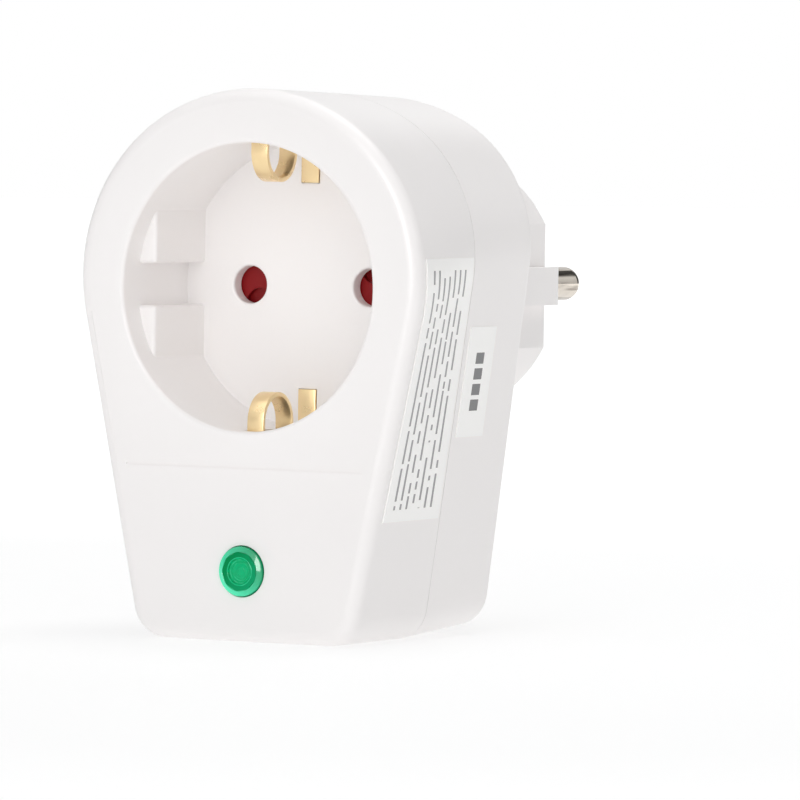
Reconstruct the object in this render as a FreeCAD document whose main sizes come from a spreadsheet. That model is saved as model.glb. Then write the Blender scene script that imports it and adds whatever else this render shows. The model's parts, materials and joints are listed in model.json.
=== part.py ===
import FreeCAD, Part
import math
import os
import Sketcher

# Plug-in adapter with thermal and surge protection: an earthed pin plug at the back, an earthed
# socket with child shutter at the front, an indicator lens below it.
# Millimetres, +Z up. The socket faces -Y, the pins point to +Y. Drawing coordinates: y = 0 is the
# front face and z = 0 the socket axis; every piece is then placed so that the origin is the middle
# of the box at the base.

SIZES = [
    # case outline at the front face, at the seam between the shells and at the rear face
    ("front_half_width", 27.1), ("front_height", 27.0), ("front_crown", 28.5), ("front_lean", 12.5),
    ("seam_half_width", 24.3), ("seam_height", 26.6), ("seam_crown", 26.9), ("seam_lean", 8.2),
    ("rear_half_width", 23.75), ("rear_height", 26.2), ("rear_crown", 28.0), ("rear_lean", 7.3),
    ("shoulder_angle", 30.0), ("base_drop", 48.1), ("rear_base_drop", 46.9), ("corner_radius", 5.0),
    ("seam_depth", 20.0), ("body_depth", 37.8), ("wall", 2.2),
    ("front_edge_radius", 1.8), ("rear_edge_radius", 1.5), ("seam_gap", 0.1), ("foot_trim", 0.02),
    # socket
    ("recess_radius", 19.6), ("recess_depth", 17.0), ("floor_thick", 2.0), ("cup_wall", 1.6),
    ("flat_offset", 16.8), ("block_start", 4.0), ("channel_half", 2.9), ("rim_radius", 0.5),
    ("pin_half_pitch", 9.5), ("pin_radius", 2.4), ("pin_length", 19.0), ("hole_clearance", 0.2),
    ("hole_lead", 0.35), ("neck_radius", 2.2), ("neck_stand", 0.3), ("block_edge", 0.5),
    # plug
    ("plug_radius", 18.2), ("plug_flat", 16.0), ("plug_length", 18.1), ("plug_wall", 2.0),
    ("face_wall", 2.4), ("rib_half", 2.65), ("rib_reach", 18.1), ("plug_edge_radius", 0.7),
    ("groove_half", 2.5), ("groove_floor", 15.7), ("groove_length", 14.0), ("dimple_radius", 0.6),
    ("dimple_drop", 10.2), ("dimple_depth", 0.4), ("root_ring_width", 0.7), ("root_ring_depth", 0.3),
    ("feed_inset", 0.4), ("tongue_gap", 0.6),
    # strips
    ("strip_thick", 0.6), ("clip_half", 1.25), ("clip_front", 3.0), ("clip_spread", 8.1),
    ("clip_apex", 14.3), ("clip_slot_gap", 0.4), ("cup_gap", 0.5), ("tab_half", 1.35),
    ("tab_stand", 0.3), ("tab_slot_gap", 0.1), ("tab_apex", 14.2), ("seat_gap", 0.1),
    # shutter
    ("shutter_radius", 13.4), ("shutter_thick", 2.0), ("shutter_gap", 0.3), ("shutter_turn", 36.0),
    ("shutter_opening", 3.0), ("post_radius", 2.0), ("post_fit", 0.05), ("hub_radius", 2.9),
    ("hub_length", 3.4), ("spring_wall", 0.8), ("spring_gap", 0.25), ("ramp_radius", 2.2),
    ("ramp_depth", 0.8), ("ramp_turn", 16.2),
    # contact carrier
    ("carrier_thick", 1.8), ("carrier_radius", 17.6), ("column_x", 12.4), ("column_z", 10.6),
    ("column_radius", 2.1), ("small_screw_radius", 0.9), ("small_head_radius", 1.8),
    ("small_head_height", 1.2), ("small_screw_grip", 3.6), ("window_gap", 0.6),
    ("pilot_spare", 0.5),
    # contacts
    ("leaf_half", 2.6), ("pin_stop_gap", 0.4), ("collar_radius", 3.6), ("collar_thick", 1.5),
    ("rivet_radius", 1.3), ("link_half", 1.5), ("link_stand", 2.6), ("sleeve_wall", 1.4),
    ("bridge_half", 2.2), ("leaf_gap", 0.05), ("leaf_clear", 1.36), ("rivet_head", 1.53),
    # indicator and protection board
    ("lens_radius", 3.5), ("lens_drop", 38.5), ("lens_flange", 4.5), ("lens_stand", 0.7),
    ("lens_fit", 0.05), ("lens_lip", 1.65), ("lens_reach", 4.84), ("lamp_gap", 0.3),
    ("lamp_radius", 2.3), ("lamp_length", 8.0), ("lead_radius", 0.3),
    ("lead_half_pitch", 1.27), ("board_depth", 22.0), ("board_thick", 1.6), ("board_half", 12.4),
    ("board_top", 24.2), ("board_bottom", 44.6), ("pillar_x", 9.4), ("pillar_z", 41.4),
    ("pillar_radius", 2.1), ("varistor_radius", 6.0), ("varistor_thick", 4.2), ("varistor_z", 32.6),
    ("varistor_x", 4.2), ("fuse_radius", 1.9), ("fuse_length", 9.6), ("fuse_x", 7.4),
    ("resistor_radius", 1.15), ("resistor_length", 6.4), ("resistor_z", 31.0), ("stand_off", 0.8),
    ("solder_stand", 1.0), ("lead_stand", 0.8), ("bead_length", 0.5), ("leg_sink", 0.2),
    ("wire_out", 1.5),
    # case screws, vents, engraved line and paper labels
    ("screw_x", 15.5), ("screw_z", 16.0), ("screw_well", 2.6), ("screw_seat", 25.0),
    ("screw_radius", 1.4), ("screw_head_radius", 2.4), ("screw_head_height", 1.7),
    ("screw_grip", 9.0), ("case_pilot_spare", 1.0), ("boss_radius", 3.3), ("screw_clearance", 0.15),
    ("vent_x", 21.45), ("vent_top", 5.3), ("vent_length", 14.6), ("vent_half", 0.55),
    ("low_vent_x", 18.55), ("low_vent_top", 22.8), ("vent_slope", 0.085),
    ("line_drop", 24.4), ("line_half_length", 18.6), ("line_half", 0.18), ("line_depth", 0.15),
    ("paper_thick", 0.15), ("label_front", 2.4), ("label_back", 19.2), ("label_top", 4.4),
    ("label_bottom", 31.2), ("date_front", 21.2), ("date_back", 28.8), ("date_top", 5.1),
    ("date_bottom", 20.2),
]

# how far a cut runs past the face that it leaves
PAST = 1.0
# share of a wall by which a hollow's corner radius is smaller than the outer corner's
INNER_CORNER = 0.8
# shape of a screw head: crown radius and shoulder height as shares of the head, and the blunt tip
HEAD_CROWN, HEAD_SHOULDER, BLUNT_TIP = 0.7, 0.55, 0.3
RIVET_CROWN = 0.8
# share of the lens radius that its flat front keeps inside the bevel
LENS_FLAT = 0.72
# radius of a vent's rounded end as a share of its half width
VENT_ROUND = 1.1

doc = FreeCAD.newDocument("protection_plug")
sheet = doc.addObject("Spreadsheet::Sheet", "dims")
for row, (alias, number) in enumerate(SIZES, start=1):
    sheet.set("A%d" % row, alias)
    sheet.set("B%d" % row, repr(number))
    sheet.setAlias("B%d" % row, alias)
doc.recompute()


class Size:
    """A length or angle together with the sheet formula that it comes from."""

    def __init__(self, value, text):
        self.value = float(value)
        self.text = text

    @staticmethod
    def of(item):
        return item if isinstance(item, Size) else Size(item, repr(float(item)))

    def __add__(self, other):
        other = Size.of(other)
        return Size(self.value + other.value, "(%s + %s)" % (self.text, other.text))

    def __sub__(self, other):
        other = Size.of(other)
        return Size(self.value - other.value, "(%s - %s)" % (self.text, other.text))

    def __mul__(self, other):
        other = Size.of(other)
        return Size(self.value * other.value, "(%s * %s)" % (self.text, other.text))

    def __truediv__(self, other):
        other = Size.of(other)
        return Size(self.value / other.value, "(%s / %s)" % (self.text, other.text))

    def __radd__(self, other):
        return Size.of(other) + self

    def __rsub__(self, other):
        return Size.of(other) - self

    def __rmul__(self, other):
        return Size.of(other) * self

    def __neg__(self):
        return Size(-self.value, "(0 - %s)" % self.text)


D = {alias: Size(sheet.get(alias), "dims." + alias) for alias, number in SIZES}


def sine(angle):
    return Size(math.sin(math.radians(angle.value)), "sin(%s)" % angle.text)


def cosine(angle):
    return Size(math.cos(math.radians(angle.value)), "cos(%s)" % angle.text)


def root(item):
    return Size(math.sqrt(item.value), "sqrt(%s)" % item.text)


def bind(thing, prop, size):
    """Tie one property of a document object to its formula."""
    thing.setExpression(prop, Size.of(size).text)


def seat(thing):
    """Move a piece from drawing coordinates to the frame whose origin is at the base's middle."""
    middle = (D["body_depth"] + D["plug_length"] + D["pin_length"] - D["lens_stand"]) / 2
    bind(thing, "Placement.Base.y", -middle)
    bind(thing, "Placement.Base.z", D["base_drop"])
    return thing


# Sketches


def role_plane(body, role):
    return [f for f in body.Origin.OriginFeatures if f.Role == role][0]


def front_sketch(body, name, y):
    """A sketch parallel to the front face at depth y: its axes are X and Z, its normal is -Y."""
    sk = body.newObject("Sketcher::SketchObject", name)
    sk.AttachmentSupport = [(role_plane(body, "XZ_Plane"), "")]
    sk.MapMode = "FlatFace"
    bind(sk, "AttachmentOffset.Base.z", -Size.of(y))
    return sk


def side_sketch(body, name, x=0, z=0):
    """A sketch in the plane X = x: its axes are Y and Z, and its own origin lies at height z."""
    sk = body.newObject("Sketcher::SketchObject", name)
    sk.AttachmentSupport = [(role_plane(body, "YZ_Plane"), "")]
    sk.MapMode = "FlatFace"
    bind(sk, "AttachmentOffset.Base.z", x)
    bind(sk, "AttachmentOffset.Base.y", z)
    return sk


def loop(sk, items):
    """A closed loop. Each item is (x, y) or (x, y, radius), the radius being that of the arc which
    runs to the next point, positive where it turns left and negative where it turns right."""
    start = sk.GeometryCount
    number = len(items)
    pts = [(Size.of(i[0]), Size.of(i[1])) for i in items]
    ends = []
    for k, item in enumerate(items):
        a = FreeCAD.Vector(pts[k][0].value, pts[k][1].value, 0)
        b = FreeCAD.Vector(pts[(k + 1) % number][0].value, pts[(k + 1) % number][1].value, 0)
        if len(item) == 2:
            sk.addGeometry(Part.LineSegment(a, b), False)
            ends.append((1, 2))
            continue
        radius = Size.of(item[2])
        r = abs(radius.value)
        chord = b - a
        half = chord.Length / 2
        left = FreeCAD.Vector(-chord.y, chord.x, 0).normalize()
        turn = 1 if radius.value > 0 else -1
        centre = (a + b) * 0.5 + left * (turn * math.sqrt(max(r * r - half * half, 0.0)))
        first, last = (a, b) if turn > 0 else (b, a)
        t0 = math.atan2(first.y - centre.y, first.x - centre.x)
        t1 = math.atan2(last.y - centre.y, last.x - centre.x)
        if t1 < t0:
            t1 += 2 * math.pi
        circle = Part.Circle(centre, FreeCAD.Vector(0, 0, 1), r)
        sk.addGeometry(Part.ArcOfCircle(circle, t0, t1), False)
        ends.append((1, 2) if turn > 0 else (2, 1))
    for k in range(number):
        nxt = (k + 1) % number
        sk.addConstraint(Sketcher.Constraint("Coincident", start + k, ends[k][1],
                                             start + nxt, ends[nxt][0]))
    for k, item in enumerate(items):
        tie(sk, "DistanceX", (-1, 1, start + k, ends[k][0]), pts[k][0], "x%d" % (start + k))
        tie(sk, "DistanceY", (-1, 1, start + k, ends[k][0]), pts[k][1], "y%d" % (start + k))
        if len(item) == 3:
            radius = Size.of(item[2])
            radius = radius if radius.value > 0 else -radius
            tie(sk, "Radius", (start + k,), radius, "r%d" % (start + k))


def tie(sk, kind, where, size, name):
    index = sk.addConstraint(Sketcher.Constraint(kind, *where, size.value))
    sk.renameConstraint(index, name)
    sk.setExpression("Constraints." + name, size.text)


def disc(sk, x, z, radius):
    """A full circle."""
    x, z, radius = Size.of(x), Size.of(z), Size.of(radius)
    k = sk.GeometryCount
    centre = FreeCAD.Vector(x.value, z.value, 0)
    sk.addGeometry(Part.Circle(centre, FreeCAD.Vector(0, 0, 1), radius.value), False)
    tie(sk, "DistanceX", (-1, 1, k, 3), x, "x%d" % k)
    tie(sk, "DistanceY", (-1, 1, k, 3), z, "y%d" % k)
    tie(sk, "Radius", (k,), radius, "r%d" % k)


def box_loop(sk, x0, x1, z0, z1):
    loop(sk, [(x0, z0), (x1, z0), (x1, z1), (x0, z1)])


def outline(sk, part, inset=0):
    """The case outline: a crown arc, two shoulder arcs, leaning sides, rounded foot corners."""
    inset = Size.of(inset)
    crown = part["crown"] - inset
    top = part["height"] - inset
    width = part["half_width"] - inset
    drop = part["drop"] - inset
    corner = part["corner"] - inset * INNER_CORNER
    s_in, c_in = sine(D["shoulder_angle"]), cosine(D["shoulder_angle"])
    shoulder = (width - crown * s_in) / (1 - s_in)
    cx = (crown - shoulder) * s_in
    cz = top - crown + (crown - shoulder) * c_in
    nx, nz = cosine(part["lean"]), -sine(part["lean"])
    p1x, p1z = crown * s_in, top - crown + crown * c_in
    p2x, p2z = cx + shoulder * nx, cz + shoulder * nz
    foot_z = corner - drop
    foot_x = (cx * nx + cz * nz + shoulder - corner - foot_z * nz) / nx
    p3x, p3z = foot_x + corner * nx, foot_z + corner * nz
    loop(sk, [(p1x, p1z, crown), (-p1x, p1z, shoulder), (-p2x, p2z), (-p3x, p3z, corner),
              (-foot_x, -drop), (foot_x, -drop, corner), (p3x, p3z), (p2x, p2z, shoulder)])


def section(name, drop):
    return {"half_width": D[name + "_half_width"], "height": D[name + "_height"],
            "crown": D[name + "_crown"], "lean": D[name + "_lean"], "drop": D[drop],
            "corner": D["corner_radius"]}


def deeper(part):
    """The same outline with its foot lower by the slice that the flat foot takes off."""
    return dict(part, drop=part["drop"] + D["foot_trim"])


def between(one, two, share):
    return {key: one[key] + (two[key] - one[key]) * share for key in one}


# Solid features


def new_body(label):
    body = doc.addObject("PartDesign::Body", label)
    body.Label = label
    return seat(body)


def pad(body, sk, length):
    """Extrude a front sketch towards the rear."""
    feature = body.newObject("PartDesign::Pad", sk.Name + "_pad")
    feature.Profile = sk
    feature.Reversed = True
    bind(feature, "Length", length)
    return grown(body, feature, 1)


def pocket(body, sk, length):
    """Cut a front sketch towards the rear."""
    feature = body.newObject("PartDesign::Pocket", sk.Name + "_cut")
    feature.Profile = sk
    bind(feature, "Length", length)
    return grown(body, feature, -1)


def grown(body, feature, sign):
    """Recompute and make sure that the feature added (1) or removed (-1) material."""
    before = body.Tip.BaseFeature.Shape.Volume if getattr(body.Tip, "BaseFeature", None) else 0.0
    doc.recompute([feature])
    change = feature.Shape.Volume - before
    if feature.Shape.isNull() or change * sign <= 1e-4:
        raise RuntimeError("%s of %s changed the volume by %.4f" % (feature.Name, body.Label, change))
    return feature


def loft(body, kind, first, second, sign):
    feature = body.newObject("PartDesign::" + kind, first.Name + "_loft")
    feature.Profile = second
    feature.Sections = [(first, [""])]
    feature.Ruled = True
    return grown(body, feature, sign)


def turned(label, points, x=0, z=0):
    """A turned piece whose axis runs along Y through (x, z). Points are (y, radius)."""
    body = new_body(label)
    sk = side_sketch(body, label + "_profile", x, z)
    loop(sk, points)
    feature = body.newObject("PartDesign::Revolution", label + "_turn")
    feature.Profile = sk
    feature.ReferenceAxis = (sk, ["H_Axis"])
    feature.Angle = 360.0
    grown(body, feature, 1)
    return body


def edges_where(shape, test):
    names = []
    for k, edge in enumerate(shape.Edges, start=1):
        if not edge.Degenerated and all(test(p) for p in edge.discretize(5)):
            names.append("Edge%d" % k)
    return names


def dress(body, kind, prop, size, base, names):
    if not names:
        raise RuntimeError("no edges for %s on %s" % (kind, body.Label))
    feature = body.newObject("PartDesign::" + kind, "%s_%s_%d" % (body.Name, kind, len(body.Group)))
    feature.Base = (base, names)
    bind(feature, prop, size)
    doc.recompute([feature])
    if feature.Shape.isNull() or not feature.Shape.isValid():
        raise RuntimeError("%s failed on %s" % (kind, body.Label))
    return feature


PIECES = []


def strip_box(name, x0, x1, y0, y1, z0, z1):
    """A plain block given by its limits in drawing coordinates."""
    x0, x1, y0, y1, z0, z1 = [Size.of(i) for i in (x0, x1, y0, y1, z0, z1)]
    block = doc.addObject("Part::Box", name)
    bind(block, "Length", x1 - x0)
    bind(block, "Width", y1 - y0)
    bind(block, "Height", z1 - z0)
    bind(block, "Placement.Base.x", x0)
    bind(block, "Placement.Base.y", y0)
    bind(block, "Placement.Base.z", z0)
    return block


def rod(name, axis, radius, length, x, y, z):
    """A cylinder that starts at (x, y, z) and runs along +X, +Y or +Z."""
    bar = doc.addObject("Part::Cylinder", name)
    bind(bar, "Radius", radius)
    bind(bar, "Height", length)
    turn = {"X": ((0, 1, 0), 90), "Y": ((1, 0, 0), -90), "Z": ((0, 0, 1), 0)}[axis]
    bar.Placement = FreeCAD.Placement(FreeCAD.Vector(0, 0, 0),
                                      FreeCAD.Rotation(FreeCAD.Vector(*turn[0]), turn[1]))
    bind(bar, "Placement.Base.x", x)
    bind(bar, "Placement.Base.y", y)
    bind(bar, "Placement.Base.z", z)
    return bar


def fused(label, shapes):
    item = doc.addObject("Part::MultiFuse", label)
    item.Shapes = shapes
    item.Refine = True
    item.Label = label
    return item


def cut(name, base, tool):
    item = doc.addObject("Part::Cut", name)
    item.Base = base
    item.Tool = tool
    return item


def keep(item, label):
    item.Label = label
    PIECES.append(item)
    return item


# Common places

front = section("front", "base_drop")
seam = section("seam", "base_drop")
rear = section("rear", "rear_base_drop")
front_end = D["seam_depth"] - D["seam_gap"] / 2
rear_start = D["seam_depth"] + D["seam_gap"] / 2
floor_back = D["recess_depth"] + D["floor_thick"]
cup_outer = D["recess_radius"] + D["cup_wall"]
plug_face = D["body_depth"] + D["plug_length"]
tip_y = plug_face + D["pin_length"]
neck_end = plug_face + D["neck_stand"]
hole_radius = D["pin_radius"] + D["hole_clearance"]
shutter_front = floor_back + D["shutter_gap"]
shutter_back = shutter_front + D["shutter_thick"]
hub_end = shutter_back + D["hub_length"]
carrier_front = hub_end + D["shutter_gap"]
carrier_back = carrier_front + D["carrier_thick"]
clip_back = D["clip_front"] + D["clip_spread"]
tab_front = D["recess_depth"] - D["tab_stand"]
strip_in = cup_outer + D["cup_gap"]
strip_out = strip_in + D["strip_thick"]
bridge_front = carrier_back + D["strip_thick"] * 2
bridge_back = bridge_front + D["strip_thick"]
base_front = D["recess_depth"] + D["pin_length"] + D["pin_stop_gap"]
base_back = base_front + D["strip_thick"]
board_back = D["board_depth"] + D["board_thick"]
link_y = D["body_depth"] - D["wall"] - D["link_stand"]
seat_y = D["screw_seat"]

# Front shell

shell = new_body("front_shell")
sk_a = front_sketch(shell, "front_outline", 0)
outline(sk_a, deeper(front))
sk_b = front_sketch(shell, "front_seam_outline", front_end)
outline(sk_b, deeper(seam))
outer = loft(shell, "AdditiveLoft", sk_a, sk_b, 1)
dress(shell, "Fillet", "Radius", D["front_edge_radius"], outer,
      edges_where(outer.Shape, lambda p: abs(p.y) < 1e-4))

# flat foot, on which the adapter stands
sk = front_sketch(shell, "foot", -PAST)
box_loop(sk, -D["front_half_width"], D["front_half_width"], -D["base_drop"] - PAST, -D["base_drop"])
pocket(shell, sk, D["seam_depth"] + PAST * 2)

# hollow behind the front wall
sk_a = front_sketch(shell, "front_hollow", D["wall"])
outline(sk_a, between(front, seam, D["wall"] / D["seam_depth"]), D["wall"])
sk_b = front_sketch(shell, "front_hollow_seam", D["seam_depth"] + D["seam_gap"])
outline(sk_b, seam, D["wall"])
loft(shell, "SubtractiveLoft", sk_a, sk_b, -1)

# cup of the socket, bosses for the case screws, pillars for the board, collar for the lens
sk = front_sketch(shell, "cup", D["wall"] / 2)
disc(sk, 0, 0, cup_outer)
pad(shell, sk, floor_back - D["wall"] / 2)
sk = front_sketch(shell, "case_bosses", D["wall"] / 2)
for side in (-1, 1):
    disc(sk, D["screw_x"] * side, -D["screw_z"], D["boss_radius"])
pad(shell, sk, D["seam_depth"] - D["wall"] / 2)
sk = front_sketch(shell, "board_pillars", D["wall"] / 2)
for side in (-1, 1):
    disc(sk, D["pillar_x"] * side, -D["pillar_z"], D["pillar_radius"])
pad(shell, sk, D["board_depth"] - D["wall"] / 2)
sk = front_sketch(shell, "lens_collar", D["wall"] / 2)
disc(sk, 0, -D["lens_drop"], D["lens_flange"] + D["cup_wall"] / 2)
pad(shell, sk, D["wall"] * 1.5)

# recess with its guide blocks
sk = front_sketch(shell, "recess", -PAST)
disc(sk, 0, 0, D["recess_radius"])
pocket(shell, sk, D["recess_depth"] + PAST)
mid_wall = D["recess_radius"] + D["cup_wall"] / 2
sk = front_sketch(shell, "guide_blocks", D["block_start"])
reach = root(mid_wall * mid_wall - D["channel_half"] * D["channel_half"])
rise = root(mid_wall * mid_wall - D["flat_offset"] * D["flat_offset"])
for sx, sz in ((1, 1), (-1, 1), (-1, -1), (1, -1)):
    corner_pts = [(D["flat_offset"] * sx, D["channel_half"] * sz), (reach * sx, D["channel_half"] * sz),
                  (D["flat_offset"] * sx, rise * sz)]
    if sx * sz > 0:
        loop(sk, [corner_pts[0], corner_pts[1] + (mid_wall,), corner_pts[2]])
    else:
        loop(sk, [corner_pts[0], corner_pts[1] + (-mid_wall,), corner_pts[2]])
blocks = pad(shell, sk, floor_back - D["block_start"])
block_x, block_y, channel_z = D["flat_offset"].value, D["block_start"].value, D["channel_half"].value


def block_edge(p):
    """On a guide block's front rim, or on its long corner beside the channel."""
    at_front, at_flat = abs(p.y - block_y) < 1e-4, abs(abs(p.x) - block_x) < 1e-4
    at_channel = abs(abs(p.z) - channel_z) < 1e-4 and abs(p.x) > block_x - 1e-4
    return (at_front and (at_flat or at_channel)) or (at_flat and at_channel)


dress(shell, "Fillet", "Radius", D["block_edge"], blocks, edges_where(blocks.Shape, block_edge))

# pin holes, post of the shutter, columns of the contact carrier
sk = front_sketch(shell, "pin_holes", D["recess_depth"] - PAST)
for side in (-1, 1):
    disc(sk, D["pin_half_pitch"] * side, 0, hole_radius)
holes = pocket(shell, sk, D["floor_thick"] + PAST * 2)
floor_y = D["recess_depth"].value
hole_r = hole_radius.value
pitch = D["pin_half_pitch"].value
lead = dress(shell, "Fillet", "Radius", D["hole_lead"], holes,
             edges_where(holes.Shape, lambda p: abs(p.y - floor_y) < 1e-4 and
                         abs(math.hypot(abs(p.x) - pitch, p.z) - hole_r) < 1e-3))
rim_r = D["recess_radius"].value
rim = dress(shell, "Fillet", "Radius", D["rim_radius"], lead,
            edges_where(lead.Shape, lambda p: abs(p.y) < 1e-4 and
                        abs(math.hypot(p.x, p.z) - rim_r) < 1e-3))
sk = front_sketch(shell, "shutter_post", floor_back - D["floor_thick"] / 2)
disc(sk, 0, 0, D["post_radius"])
pad(shell, sk, carrier_front + D["carrier_thick"] / 2 - floor_back + D["floor_thick"] / 2)
sk = front_sketch(shell, "carrier_columns", floor_back - D["floor_thick"] / 2)
for side in (-1, 1):
    disc(sk, D["column_x"] * side, D["column_z"] * side, D["column_radius"])
pad(shell, sk, carrier_front - floor_back + D["floor_thick"] / 2)

# screw pilots, slots for the earth clips, lens seat, engraved line
sk = front_sketch(shell, "case_pilots", D["seam_depth"] - D["screw_grip"] - D["case_pilot_spare"])
for side in (-1, 1):
    disc(sk, D["screw_x"] * side, -D["screw_z"], D["screw_radius"])
pocket(shell, sk, D["screw_grip"] + D["case_pilot_spare"] + PAST)
sk = front_sketch(shell, "board_pilots", D["board_depth"] - D["small_screw_grip"] - D["pilot_spare"])
for side in (-1, 1):
    disc(sk, D["pillar_x"] * side, -D["pillar_z"], D["small_screw_radius"])
pocket(shell, sk, D["small_screw_grip"] + D["pilot_spare"] + PAST)
sk = front_sketch(shell, "column_pilots", carrier_front - D["small_screw_grip"] - D["pilot_spare"])
for side in (-1, 1):
    disc(sk, D["column_x"] * side, D["column_z"] * side, D["small_screw_radius"])
pocket(shell, sk, D["small_screw_grip"] + D["pilot_spare"] + PAST)
slot_half = D["clip_half"] + D["clip_slot_gap"]
sk = front_sketch(shell, "clip_slots", D["clip_front"] - D["clip_slot_gap"])
for sign in (-1, 1):
    low, high = D["flat_offset"] * sign, (cup_outer + PAST / 2) * sign
    box_loop(sk, -slot_half, slot_half, low if sign > 0 else high, high if sign > 0 else low)
pocket(shell, sk, D["clip_spread"] + D["clip_slot_gap"] * 2)
tab_slot = D["tab_half"] + D["tab_slot_gap"]
sk = front_sketch(shell, "tab_slots", tab_front - D["seat_gap"])
for sign in (-1, 1):
    low, high = (D["tab_apex"] - D["tab_slot_gap"]) * sign, (cup_outer + PAST / 2) * sign
    box_loop(sk, -tab_slot, tab_slot, low if sign > 0 else high, high if sign > 0 else low)
pocket(shell, sk, D["strip_thick"] + D["seat_gap"] * 2)
sk = front_sketch(shell, "lens_hole", -PAST)
disc(sk, 0, -D["lens_drop"], D["lens_radius"] + D["lens_fit"])
pocket(shell, sk, D["wall"] * 3)
sk = front_sketch(shell, "lens_seat", D["lens_lip"])
disc(sk, 0, -D["lens_drop"], D["lens_flange"] + D["lens_fit"])
pocket(shell, sk, D["wall"] * 2)
sk = front_sketch(shell, "engraved_line", 0)
box_loop(sk, -D["line_half_length"], D["line_half_length"],
         -D["line_drop"] - D["line_half"], D["line_half"] - D["line_drop"])
pocket(shell, sk, D["line_depth"])
keep(shell, "front_shell")

# Rear shell with the plug

back = new_body("rear_shell")
sk_a = front_sketch(back, "rear_seam_outline", rear_start)
outline(sk_a, seam)
sk_b = front_sketch(back, "rear_outline", D["body_depth"])
outline(sk_b, rear)
outer = loft(back, "AdditiveLoft", sk_a, sk_b, 1)
rear_y = D["body_depth"].value
dress(back, "Fillet", "Radius", D["rear_edge_radius"], outer,
      edges_where(outer.Shape, lambda p: abs(p.y - rear_y) < 1e-4))


def plug_loop(sk, radius, flat):
    """A circle cut by two upright flats."""
    half = root(radius * radius - flat * flat)
    loop(sk, [(flat, half, radius), (-flat, half), (-flat, -half, radius), (flat, -half)])


sk = front_sketch(back, "plug_nose", D["body_depth"] - D["wall"])
plug_loop(sk, D["plug_radius"], D["plug_flat"])
nose = pad(back, sk, D["plug_length"] + D["wall"])
face_y = plug_face.value
nose = dress(back, "Chamfer", "Size", D["plug_edge_radius"], nose,
             edges_where(nose.Shape, lambda p: abs(p.y - face_y) < 1e-4))
sk = front_sketch(back, "guide_ribs", D["body_depth"] - D["wall"])
for sign in (-1, 1):
    near, far = (D["plug_flat"] - D["plug_wall"] / 2) * sign, D["rib_reach"] * sign
    box_loop(sk, near if sign > 0 else far, far if sign > 0 else near, -D["rib_half"], D["rib_half"])
ribs = pad(back, sk, D["plug_length"] + D["wall"])
rib_x = D["rib_reach"].value
dress(back, "Fillet", "Radius", D["plug_edge_radius"], ribs,
      edges_where(ribs.Shape, lambda p: abs(p.y - face_y) < 1e-4 and abs(abs(p.x) - rib_x) < 1e-4))

# hollow of the case and of the plug nose
inner_rear = between(seam, rear, (D["body_depth"] - D["wall"] - D["seam_depth"])
                     / (D["body_depth"] - D["seam_depth"]))
sk_a = front_sketch(back, "rear_hollow_seam", D["seam_depth"] - D["seam_gap"])
outline(sk_a, seam, D["wall"])
sk_b = front_sketch(back, "rear_hollow", D["body_depth"] - D["wall"])
outline(sk_b, inner_rear, D["wall"])
loft(back, "SubtractiveLoft", sk_a, sk_b, -1)
sk = front_sketch(back, "nose_hollow", D["body_depth"] - D["wall"] - PAST)
plug_loop(sk, D["plug_radius"] - D["plug_wall"], D["plug_flat"] - D["plug_wall"])
pocket(back, sk, D["plug_length"] + D["wall"] + PAST - D["face_wall"])

# floors under the contact grooves, sleeves round the pins, tubes for the case screws
sk = front_sketch(back, "groove_floors", D["body_depth"] - D["wall"])
inner_nose = D["plug_radius"] - D["plug_wall"] / 2
for sign in (-1, 1):
    low, high = (D["groove_floor"] - D["plug_wall"]) * sign, inner_nose * sign
    box_loop(sk, -D["groove_half"] - D["plug_wall"] / 2, D["groove_half"] + D["plug_wall"] / 2,
             low if sign > 0 else high, high if sign > 0 else low)
pad(back, sk, D["plug_length"] + D["wall"] - D["face_wall"] / 2)
sk = front_sketch(back, "pin_sleeves", D["body_depth"] + D["wall"])
for side in (-1, 1):
    disc(sk, D["pin_half_pitch"] * side, 0, D["collar_radius"] + D["sleeve_wall"] / 2)
pad(back, sk, D["plug_length"] - D["wall"] - D["face_wall"] / 2)
sk = front_sketch(back, "screw_tubes", D["seam_depth"])
for side in (-1, 1):
    disc(sk, D["screw_x"] * side, -D["screw_z"], D["boss_radius"] + D["screw_clearance"] * 2)
pad(back, sk, D["body_depth"] - D["seam_depth"] - D["wall"] / 2)

# grooves for the plug's earth contacts, and the way in from the case
sk = front_sketch(back, "contact_grooves", plug_face - D["groove_length"])
for sign in (-1, 1):
    low, high = D["groove_floor"] * sign, (D["plug_radius"] + PAST) * sign
    box_loop(sk, -D["groove_half"], D["groove_half"],
             low if sign > 0 else high, high if sign > 0 else low)
pocket(back, sk, D["groove_length"] + PAST)
feed_low = D["groove_floor"] - D["plug_wall"] - PAST / 2
sk = front_sketch(back, "contact_feeds", plug_face - D["groove_length"])
for sign in (-1, 1):
    low, high = feed_low * sign, (D["groove_floor"] + D["seat_gap"] * 2) * sign
    box_loop(sk, D["feed_inset"] - D["groove_half"], D["groove_half"] - D["feed_inset"],
             low if sign > 0 else high, high if sign > 0 else low)
pocket(back, sk, D["strip_thick"] + D["seat_gap"] * 4)

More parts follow.
